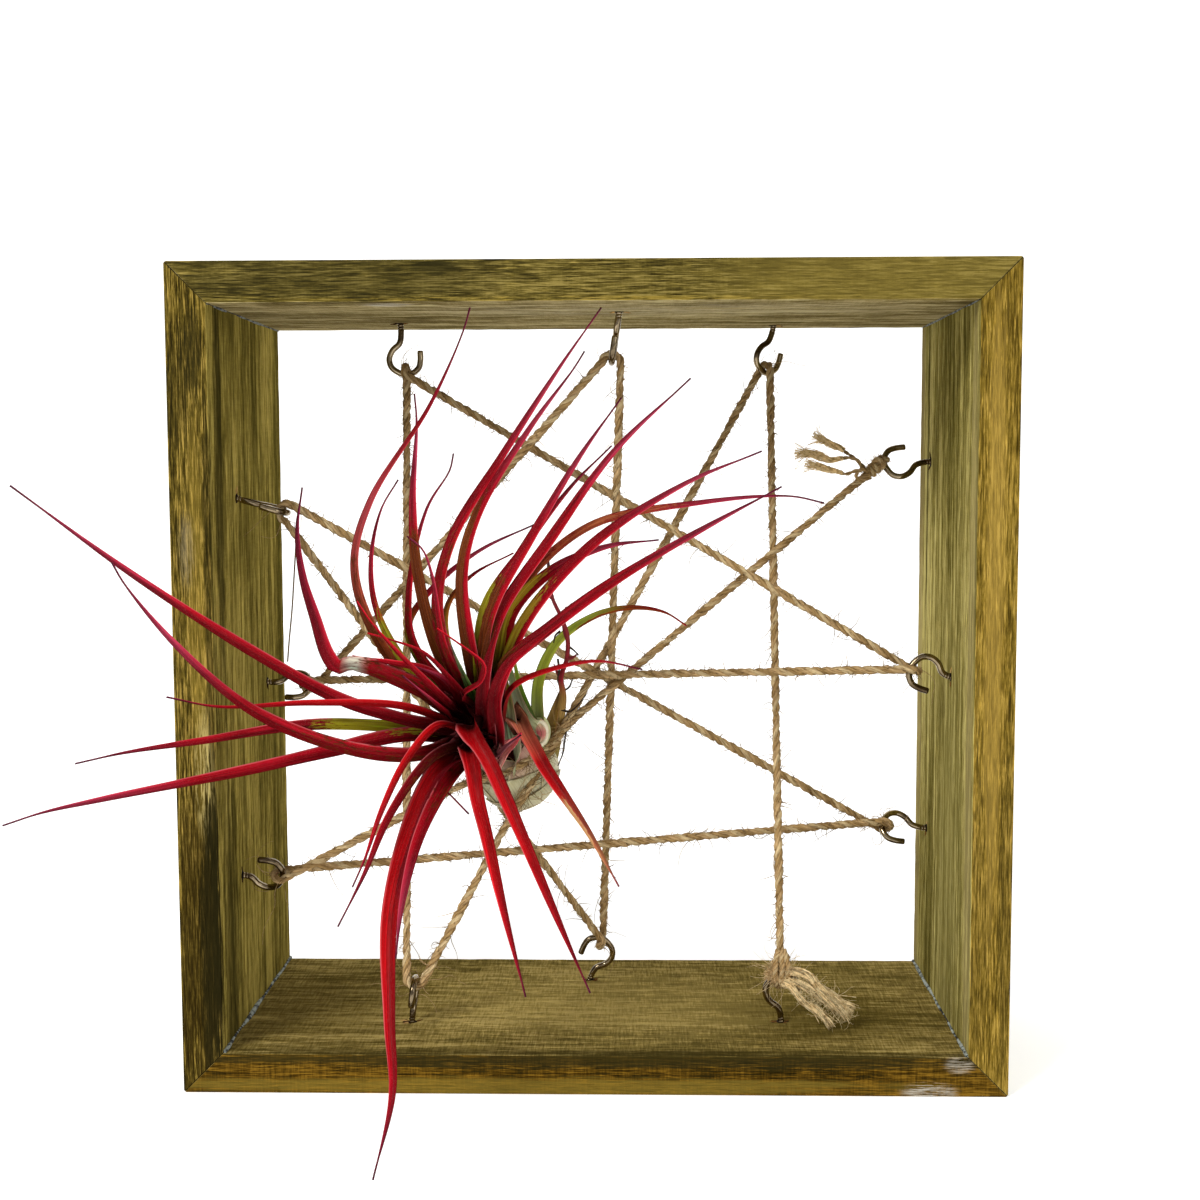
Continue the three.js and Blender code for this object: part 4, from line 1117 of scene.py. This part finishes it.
def blade(skin, points, width, stops, seed, flush=None, cup=0.0, in_heart=False, flare=0.8):
    """A channelled leaf whose base clasps the stem and whose tip runs out to a fine point.

    The cup deepens the channel where the leaf bends over, at the third point of its path, so that its
    margins stand up as two horns above a base painted dark, as painted shade.
    """
    points = np.array(points, float)
    length = lengths(smooth(points, 60))[-1]
    rows = max(10, int(length / ROW_STEP))
    spine = smooth(points, rows)
    share = np.linspace(0, 1, rows + 1)
    travel = share * length
    clasp = fading(travel, CLASP_REACH)
    bend = travel[np.argmin(np.linalg.norm(spine - points[min(2, len(points) - 1)], axis=1))]
    horns = cup * fading(travel - bend, HORN_REACH)
    shaded = 1 - 0.9 * ramped(bend - travel, 0, 1.6) * (cup > 0.5)
    half = np.maximum(width * (1 - share**2), TIP_WIDTH) / 2 * (1 + flare * clasp + 0.25 * horns)
    half *= 1 + 0.03 * np.sin(travel / 6.1 + seed * 5)
    rise = half * (0.46 + 0.3 * fading(travel, CHANNEL_REACH) + horns)
    fold = 1.8 + 0.2 * clasp
    thickness = BLADE_THICKNESS * (1 - 0.4 * share)
    columns = np.linspace(-1, 1, BLADE_COLUMNS)
    # Painted light and shade across the upper side's hollow, and how much of the rosy margin, partly a
    # painted highlight, each column has
    hollow_light_and_shade = 0.42 + 0.72 * np.clip(columns + 0.35, 0, 1.2) ** 1.3 + 0.35 * np.clip(-columns - 0.35, 0, 1)
    hollow_light_and_shade = hollow_light_and_shade * (1 - 0.6 * ramped(-columns, 0.78, 0.22))
    edge = ramped(columns, 0.82, 0.18)[:, None] * ROSE_MARGIN_AND_HIGHLIGHT
    rings, tints, places, flushes = [], [], [], []
    for i, tangent in enumerate(headings(spine)):
        face = across(STEM_AXIS, tangent)
        roll = 0.10 * math.sin(travel[i] / 23 + seed * 7)
        aside = np.cross(tangent, face)
        rolled = face * math.cos(roll) + aside * math.sin(roll)
        aside = aside * math.cos(roll) - face * math.sin(roll)
        upper = rise[i] * np.abs(columns) ** fold[i]
        top = spine[i] + aside * (columns * half[i])[:, None] + rolled * upper[:, None]
        low = top - rolled * (thickness[i] * (1 - 0.72 * columns**2))[:, None]
        ring = np.vstack([top[::-1], low])
        rings.append(ring)
        tone = shade_at(stops, share[i]) * np.ones((len(columns), 1))
        # The upper side carries the painted light and shade of its hollow, and a rosy margin that is partly
        # a painted highlight
        upper_tone = tone * hollow_light_and_shade[:, None]
        upper_tone = toward(upper_tone, ROSE, edge * min(1, half[i] / 2))
        pale = 0.06 * fading(travel[i], PALE_REACH)
        # The underside is painted darker, and darker still towards one margin, as painted shade; near the
        # root it is paler
        shaded_under_tone = tone * (0.62 + 0.36 * columns)[:, None] + (SAGE - tone) * pale
        shadow = np.full(len(ring), shaded[i])
        if in_heart:
            shadow = shadow * heart_light(ring, HEART_REACH)
        tints.append(np.vstack([upper_tone[::-1], shaded_under_tone]) * shadow[:, None])
        if flush:
            spread = flushed(flush, columns, share[i])
            flushes.append(np.c_[flush[1] * shadow[:, None], np.r_[spread[::-1], spread * 0.8]])
        along = np.full(len(columns), travel[i] + seed * VEIN_SHIFT[0])
        beside = columns * half[i] + 5.3 + seed * VEIN_SHIFT[1]
        places.append(np.vstack([np.c_[along, beside[::-1]], np.c_[along, beside + UNDERSIDE_SHIFT]]))
    skin.loft(np.array(rings), np.array(tints), np.array(places), np.array(flushes) if flush else None)


def leaf_skin(name, dark, light, painted_sheen):
    """Matt leaf: fine veins along it, a second colour in grainy patches, and scattered pale scales.

    The last three are factors for its dark veins, its light ones and its broad streaks of painted sheen.
    """
    shades = Shades(name, Specular_IOR_Level=0.04)
    place = shades.place()
    flush = shades.add("Attribute", attribute_name="flush").outputs
    grain = shades.grain(place, (0.4, 2.0, 1.0), detail=4.0, roughness=0.7)
    veins = shades.grain(place, (0.02, 3.4, 1.0), detail=3.0, roughness=0.6)
    mottle = shades.grain(place, (0.1, 0.5, 1.0), detail=3.0)
    streaks = shades.grain(place, (0.035, 0.9, 1.0), detail=2.0)
    spread = shades.math("SUBTRACT", shades.blend((grain, 1.1), (mottle, 0.6)), 0.5)
    spread = shades.math("ADD", spread, flush["Alpha"])
    colour = shades.laid(shades.tint(), flush["Color"], spread, 0.4, 0.6)
    dull = shades.times(colour, dark)
    colour = shades.laid(colour, dull, veins, 0.45, 0.68, 0.0, 0.7)
    colour = shades.laid(colour, dull, mottle, 0.5, 0.75, 0.0, 0.6)
    colour = shades.laid(colour, shades.times(colour, light), veins, 0.34, 0.46, 0.6, 0.0)
    # Broad streaks of painted sheen
    colour = shades.laid(colour, shades.times(colour, painted_sheen), streaks, 0.55, 0.68, 0.0, 0.7)
    specks = shades.dots(shades.vector("MULTIPLY", place, (0.7, 1.1, 1.0)), 0.08, 0.16, kept=0.35)
    colour = shades.mix(shades.math("MULTIPLY", specks, 0.4), colour, rgb("d59a90"))
    height = shades.math("ADD", veins, shades.math("MULTIPLY", grain, 0.5))
    return shades.finish(colour, shades.span(mottle, 0.3, 0.7, 0.32, 0.46), shades.bump(height, 0.4, 0.16))


red_skin = leaf_skin(
    "red_leaf_skin", dark=(0.36, 0.28, 0.3), light=(1.5, 1.7, 1.6), painted_sheen=(1.55, 2.2, 2.1),
)
pale_skin = leaf_skin(
    "pale_leaf_skin", dark=(0.72, 0.68, 0.6), light=(1.15, 1.12, 1.05), painted_sheen=(1.25, 1.2, 1.2),
)
leaves = Skin()
for number, (leaf_width, stops, flush, cup, path) in enumerate(LEAVES):
    start = np.array(path[0], float)
    reach = min(np.dot(start - BULB, STEM_AXIS), STEM_LENGTH) - SHEATH_BACK
    root = BULB + STEM_AXIS * max(reach, SHEATH_START) + side_of(start) * SHEATH_OFFSET
    blade(leaves, [root, *path], leaf_width, stops, number * 0.37, flush, cup, in_heart=True)
# Leaf bases that run down from the heart, a pink sheath, and the leaf that splits off beside it
BASES = [
    (6.4, [(0, SAGE), (0.1, ROSE * 0.5), (0.2, CRIMSON * 0.6), (0.5, CRIMSON * 0.75), (0.75, CRIMSON * 1.1),
           (1, CRIMSON)], None, 0,
     [(-29.4, -21, 99), (-29.1, -32, 106), (-29.2, -38, 112.4), (-29.6, -43, 119.4), (-28.6, -46, 125.5),
      (-25.5, -46.5, 132.4), (-18, -51.5, 139.7), (-8, -58, 148)]),
    (6.2, [(0, WINE), (0.3, WINE), (1, CRIMSON)], None, 0,
     [(-32, -26, 102), (-32.5, -35, 112), (-33.4, -39.5, 119), (-33.2, -41.5, 126), (-31.6, -42, 134),
      (-27.5, -47, 147)]),
    (7.0, [(0, SAGE * 1.2), (0.5, SAGE * 0.9), (0.75, OLIVE_LEAF), (1, DEEP_GREEN)], None, 0,
     [(-26.5, -14, 97), (-25.8, -22, 104), (-26.4, -27, 111), (-26.8, -29.5, 117), (-27.5, -31, 124),
      (-29, -31, 134)]),
    # The pink sheath's tones are painted brighter than its own colour, as painted light against the shade it
    # lies in
    (6.6, [(0, rgb("e8bca8") * 1.2), (0.6, rgb("f08c84") * 1.3), (1, rgb("f0405c") * 1.3)], None, 0.3,
     [(-31.6, -27, 98), (-29.6, -29.5, 101), (-27, -32, 104.8), (-24.4, -33, 107.4), (-22.6, -32, 110)]),
    (5.0, [(0, SAGE), (0.14, rgb("d88c66")), (0.3, rgb("cc5440")), (0.38, SCARLET), (0.52, SCARLET),
           (0.7, rgb("ae4a36")), (0.88, rgb("b0704a")), (1, rgb("8a2038"))],
     (1, rgb("c09060"), 0.55, 0.9, 0.68), 1.0,
     [(-23, -18, 104), (-23.4, -24.6, 111), (-23.2, -27.6, 113.4), (-21.2, -30.5, 109.8),
      (-18.5, -32, 105.2), (-15.2, -35, 99.7), (-10.3, -39, 93.3), (-0.8, -48, 81.3), (8, -54, 67)]),
]
for number, (base_width, stops, flush, cup, path) in enumerate(BASES):
    blade(leaves, path, base_width, stops, 5.3 + number, flush, cup, flare=0.25)
leaves.piece("rosette_leaves", red_skin, "red_leaf", "rosette")


def scale(skin, angle, lift, start, end, spread, base, tip):
    """One scale that clasps the bulb, faintly ribbed, with a dry edge and a point at its upper end."""
    columns = np.linspace(-1, 1, SCALE_COLUMNS)
    rings, tints, places = [], [], []
    for v in np.linspace(0, 1, SCALE_ROWS):
        distance = toward(start, end, v)
        width = spread * min(1, 0.6 + 1.6 * v) * max(0.03, 1 - v**3) ** 0.5
        turn = angle + columns * width
        out = turned(STEM_SIDE, STEM_OVER, turn)
        curl = 0.35 * np.abs(columns) ** 6 + 3.5 * max(0, v - 0.88)
        radius = np.interp(distance, STEM_PLACES, STEM_RADII) + lift + curl
        body = 0.7 * (1 - 0.7 * columns**2)
        centre = BULB + STEM_AXIS * distance
        outer = centre + out * radius[:, None]
        inner = centre + out * (radius - body)[:, None]
        rings.append(np.vstack([outer, inner[::-1]]))
        tone = toward(base, tip, min(1, max(0, v - 0.45) * 2))
        tone = tone * np.ones((len(columns), 1)) * (0.93 + 0.07 * np.cos(columns * 11 + angle))[:, None]
        # Painted shade: each scale is darker towards its sides, where the next ones overlap it
        tone = tone * (1 - 0.35 * ramped(np.abs(columns), 0.6, 0.3))[:, None]
        tone = toward(tone, DRY_MARGIN, ramped(np.abs(columns), 0.93, 0.07)[:, None] * 0.7)
        tone = tone * heart_light(outer, SCALE_SHADE_REACH)[:, None]
        tints.append(np.vstack([tone, tone[::-1] * 0.8]))
        side = columns * width * radius
        along = np.full(len(columns), distance + angle * 31)
        places.append(np.vstack([np.c_[along, side], np.c_[along, side[::-1] + UNDERSIDE_SHIFT]]))
    skin.loft(np.array(rings), np.array(tints), np.array(places))


SCALE_ROWS = 30
SCALE_COLUMNS = 21
SCALE_SHADE_REACH = 12
DRY_MARGIN, BULB_PINK, BULB_SAGE, BULB_PALE = tones("cfc39a b88c7e cbc7a0 e4dfbe")
# Each scale's angle round the stem, lift off it, start and end along it, half width as an angle, and tones
SCALES = [
    # The inner scales' tones are painted darker, as painted shade under the outer ones
    (60, 0.0, -10, 34, 1.3, BULB_SAGE * 0.7, BULB_PINK * 0.6),
    (180, 0.0, -10, 34, 1.3, BULB_SAGE * 0.7, BULB_PINK * 0.6),
    (300, 0.05, -10, 34, 1.3, BULB_SAGE * 0.7, BULB_SAGE * 0.7),
    (250, 0.4, -8, 27, 1.2, BULB_SAGE, BULB_PINK),
    (345, 0.4, -8, 28, 1.2, BULB_SAGE, BULB_SAGE * 0.8),
    (110, 0.4, -8, 28, 1.2, BULB_SAGE, WINE),
    (196, 0.8, -10, 19, 1.3, BULB_PALE * 0.8, BULB_SAGE),
    (20, 0.8, -11, 20, 1.3, BULB_SAGE, OLIVE_LEAF),
    (300, 1.1, -11.5, 15, 1.4, BULB_PALE, BULB_SAGE),
    (98, 1.0, -11.5, 16, 1.3, BULB_SAGE, BULB_SAGE),
    (205, 1.4, -12, 8, 1.3, BULB_PALE, BULB_SAGE),
]
bulb = Skin()
core = BULB + np.outer(STEM_PLACES[1:-1], STEM_AXIS)
core_shade = np.array([DRY_MARGIN * 0.25] * 5 + [BLOOD * 0.5] * (len(core) - 5))
bulb.tube(core, STEM_RADII[1:-1] * 0.93, 28, core_shade)
for turn, *shape in SCALES:
    scale(bulb, math.radians(turn), *shape)
bulb.piece("bulb_scales", pale_skin, "green_leaf", "rosette")

# Pup beside the stem
PUP_BULB = np.array([-18.5, -6, 105.5])
PUP_RADIUS = 3.6
PUP_FOOT = -4.6
PUP_TOP = 5.4
PUP_ROWS = 15
PUP_SIDES = 18
PUP_SAGE = SAGE * 2
PUP_PINK = rgb("c06468")
pup = Skin()
pup_spine = PUP_BULB + np.outer(np.linspace(PUP_FOOT, PUP_TOP, PUP_ROWS), ALONG_Z)
pup_radius = [
    PUP_RADIUS * math.sin(math.pi * (0.06 + 0.84 * k / (PUP_ROWS - 1))) ** 0.6 for k in range(PUP_ROWS)
]
_, pup_side, pup_up = carried_frames(pup_spine)
pup_front = turned(pup_side[0], pup_up[0], circle(PUP_SIDES))
blush = np.clip(-pup_front[:, 1] * 1.6 - 0.5, 0, 1)[None, :, None]
blush = blush * np.clip(1.2 - np.abs(np.linspace(-1, 1, PUP_ROWS)) * 1.3, 0, 1)[:, None, None]
pup.tube(pup_spine, pup_radius, PUP_SIDES, toward(PUP_SAGE, PUP_PINK, blush))
# The pale lip of the sheath that the pup grows from, a bent ring
LIP_CENTRE = (-18.3, -9.0, 106)
LIP_REACH = (2.2, 1.0, 3.9)
LIP_RADIUS = 0.72
lip_turn = np.linspace(0, 2 * math.pi, 30)
lip = np.stack([np.cos(lip_turn), np.cos(lip_turn) ** 2, np.sin(lip_turn)], axis=1)
pup.tube(LIP_CENTRE + lip * LIP_REACH, LIP_RADIUS, 8, rgb("f6eed2"))
PUP_LEAVES = [
    (4.2, GREEN_LEAF, (1, RUST, 0.5, 1.0, 0.8),
     [PUP_BULB, (-18, -10, 123), (-12, -13, 136), (0, -17, 145), (11, -20, 148), (22, -23, 147),
      (29, -26, 143)]),
    (2.6, [(0, SAGE), (0.4, DEEP_GREEN), (1, GREEN)], None, [PUP_BULB, (-24, -13, 121), (-27, -16, 137)]),
    (5.4, [(0, SAGE * 1.25), (0.6, SAGE * 1.1), (1, DEEP_GREEN)], None,
     [PUP_BULB, (-22.5, -17, 113), (-25, -19, 120), (-28, -21, 134)]),
]
for number, (leaf_width, stops, flush, path) in enumerate(PUP_LEAVES):
    blade(pup, path, leaf_width, stops, 3.1 + number, flush, flare=0.1)
pup.piece("pup_plant", pale_skin, "green_leaf", "pup")

# Dried flower stalk: papery foot, thin red stalk and wiry dead roots
# Places along the stalk, with its radius there
STALK = np.array([
    (-17, 9, 87, 1.6), (-15, 8, 95.3, 1.9), (-13.8, 5.5, 102.3, 2.0), (-12.1, 0, 111, 1.9),
    (-10.7, -7, 118.4, 1.3), (-11.1, -12, 124.6, 0.9), (-8.9, -17, 131.7, 0.8), (-8.7, -21, 139.5, 0.8),
    (-10.8, -24, 146.2, 0.7), (-13.2, -25, 152, 0.6), (-14.4, -26, 163.7, 0.5),
])
STALK_ROWS = 70
STALK_SIDES = 12
STALK_TONES = [
    (0, rgb("8a8748")), (0.3, rgb("b79552")), (0.42, rgb("9a7136")), (0.5, rgb("8f1020")),
    (0.8, rgb("8a1c2c")), (1, rgb("4a2a34")),
]


def straw():
    """Dry plant fibre with brown strands along it."""
    shades = Shades("dry_stalk", Specular_IOR_Level=0.25)
    strands = shades.grain(shades.place(), (0.12, 4.0, 1.0), detail=5.0, roughness=0.7)
    colour = shades.laid(shades.tint(), rgb("4a3318"), strands, 0.42, 0.7, 0.0, 0.7)
    return shades.finish(colour, 0.8, shades.bump(strands, 0.8, 0.3))


stalk = Skin()
stalk_share = lengths(STALK[:, :3])
line_share = np.linspace(0, 1, STALK_ROWS + 1)
stalk_radius = np.interp(line_share, stalk_share / stalk_share[-1], STALK[:, 3])[:, None] * 0.92
stalk_radius = stalk_radius * (1 + 0.12 * np.sin(3 * circle(STALK_SIDES) + 9 * line_share[:, None]))
stalk_line = smooth(STALK[:, :3], STALK_ROWS)
stalk.tube(stalk_line, stalk_radius, STALK_SIDES, shade_at(STALK_TONES, line_share))
ROOTS = [
    [(-10.7, -23.5, 144.5), (-9.4, -23, 147.3), (-7.2, -23, 149.8)],
    [(-10.9, -24, 141), (-12.4, -22, 139.5), (-13, -21, 137)],
    [(-8.8, -19, 135.9), (-6.9, -19, 134.6), (-5.1, -19, 132.8)],
    [(-11.9, -17, 131.3), (-11.6, -15, 127.6), (-12.2, -11, 123.4), (-10.9, -8, 119.6)],
    [(-10.8, -7, 119.6), (-8.8, -7, 120.8), (-7.5, -7, 123.8)],
    [(-11.5, -3, 112.8), (-8.5, -4, 112.4), (-5.8, -4, 114.7), (-3.4, -4, 118)],
    [(-12.5, 2, 107), (-10, -2, 106.6), (-10.5, -2, 102.5), (-11, -2, 98.5), (-12.8, -2, 93.9)],
]
for root_path in ROOTS:
    stalk.tube(smooth(root_path, 16), np.linspace(0.42, 0.2, 17), 5, rgb("2e2319"))
# Small bracts at the joints of the thin part, and the stub of another root at the bulb
BRACTS = np.array([
    ((-11.1, -12, 124.6), (-13.4, -13.5, 129.5)), ((-8.9, -17, 131.5), (-5.4, -18.5, 133.4)),
    ((-8.7, -20.5, 138.6), (-10.2, -21.5, 142.8)), ((-10.6, -23.6, 145.6), (-8.8, -24.6, 149)),
    ((-13.1, -25, 151.8), (-15.8, -25.6, 155)),
])
for foot, tip in BRACTS:
    middle = (foot * 0.4 + tip * 0.6) + (0, -0.3, -0.5)
    stalk.tube(smooth([foot, middle, tip], 8), np.linspace(0.85, 0.15, 9), 7, rgb("84202a"))
stub = smooth([(-16, 4, 89), (-13.6, 3, 87), (-11.9, 2.6, 86.4)], 8)
stalk.tube(stub, [1.5, 1.5, 1.4, 1.4, 1.3, 1.2, 1.1, 1.0, 0.6], 9, rgb("1c140d"))
PAPER = [(-18, 3, 93), (-16.1, 0, 101.5), (-14.2, -1.5, 109), (-12.6, -4, 115.6), (-11.3, -6.5, 121)]
PAPER_TONES = [(0, rgb("8f9060")), (0.35, rgb("a58a48")), (0.7, rgb("b98f45")), (1, rgb("8a5f2c"))]
blade(stalk, PAPER, 5.6, PAPER_TONES, 1.7, flare=0.3)
stalk.piece("stalk_dried", straw(), "dry_stalk", "flower_stalk")

# Floor that curves up into a plain backdrop, in metres
FLOOR_FRONT, FLOOR_BACK, FLOOR_SIDE = -1.6, 1.4, 4.0
SWEEP, BACKDROP_TOP = 0.8, 3.5
sweep = [(FLOOR_FRONT, 0.0), (FLOOR_BACK, 0.0)]
for bend in np.radians(np.arange(6, 91, 6)):
    sweep.append((FLOOR_BACK + SWEEP * math.sin(bend), SWEEP - SWEEP * math.cos(bend)))
sweep.append((FLOOR_BACK + SWEEP, BACKDROP_TOP))
floor_mesh = bpy.data.meshes.new("floor")
floor_points = [(x, y, z) for y, z in sweep for x in (-FLOOR_SIDE, FLOOR_SIDE)]
floor_faces = [(2 * i, 2 * i + 1, 2 * i + 3, 2 * i + 2) for i in range(len(sweep) - 1)]
floor_mesh.from_pydata(floor_points, [], floor_faces)
floor_mesh.polygons.foreach_set("use_smooth", [True] * len(floor_mesh.polygons))
backdrop = Shades(
    "backdrop", Base_Color=(0.93, 0.93, 0.92, 1), Roughness=0.9, Specular_IOR_Level=0.1,
    Emission_Color=(1, 1, 1, 1), Emission_Strength=0.42,
)
floor_mesh.materials.append(backdrop.material)
floor = linked("floor", floor_mesh)


def area_light(name, place, target, size, power):
    lamp = bpy.data.lights.new(name, "AREA")
    lamp.shape, lamp.size, lamp.energy = "DISK", size, power
    made = linked(name, lamp)
    made.location = place
    made.rotation_euler = (Vector(target) - Vector(place)).to_track_quat("-Z", "Y").to_euler()


area_light("key", (-0.9, -1.1, 1.15), (0, 0, 0.12), 0.55, 22)
area_light("fill", (1.2, -1.2, 0.7), (0, 0, 0.12), 1.0, 5)
area_light("backdrop_wash", (0, 1.0, 1.9), (0, 1.9, 0.5), 1.4, 6)

world = bpy.data.worlds.new("studio")
world.use_nodes = True
background = world.node_tree.nodes["Background"].inputs
background["Color"].default_value = (1, 1, 1, 1)
background["Strength"].default_value = 0.54
bpy.context.scene.world = world
bpy.context.scene.view_settings.view_transform = "Standard"

# Camera fitted to the frame's corners in the photograph
SENSOR = 36.0
LENS = 47.45
CAMERA_PLACE = (0.01318, -0.5205, 0.19215)
YAW, PITCH, ROLL = 0.0228, -0.0828, -0.0029
camera = linked("camera", bpy.data.cameras.new("camera"))
camera.data.sensor_width = SENSOR
camera.data.lens = LENS
ahead = Vector((-math.sin(YAW) * math.cos(PITCH), math.cos(YAW) * math.cos(PITCH), math.sin(PITCH)))
level = Vector((math.cos(YAW), math.sin(YAW), 0))
right = level * math.cos(ROLL) + level.cross(ahead) * math.sin(ROLL)
axes = Matrix((right, right.cross(ahead), -ahead)).transposed().to_4x4()
camera.matrix_world = Matrix.Translation(CAMERA_PLACE) @ axes
bpy.context.scene.camera = camera
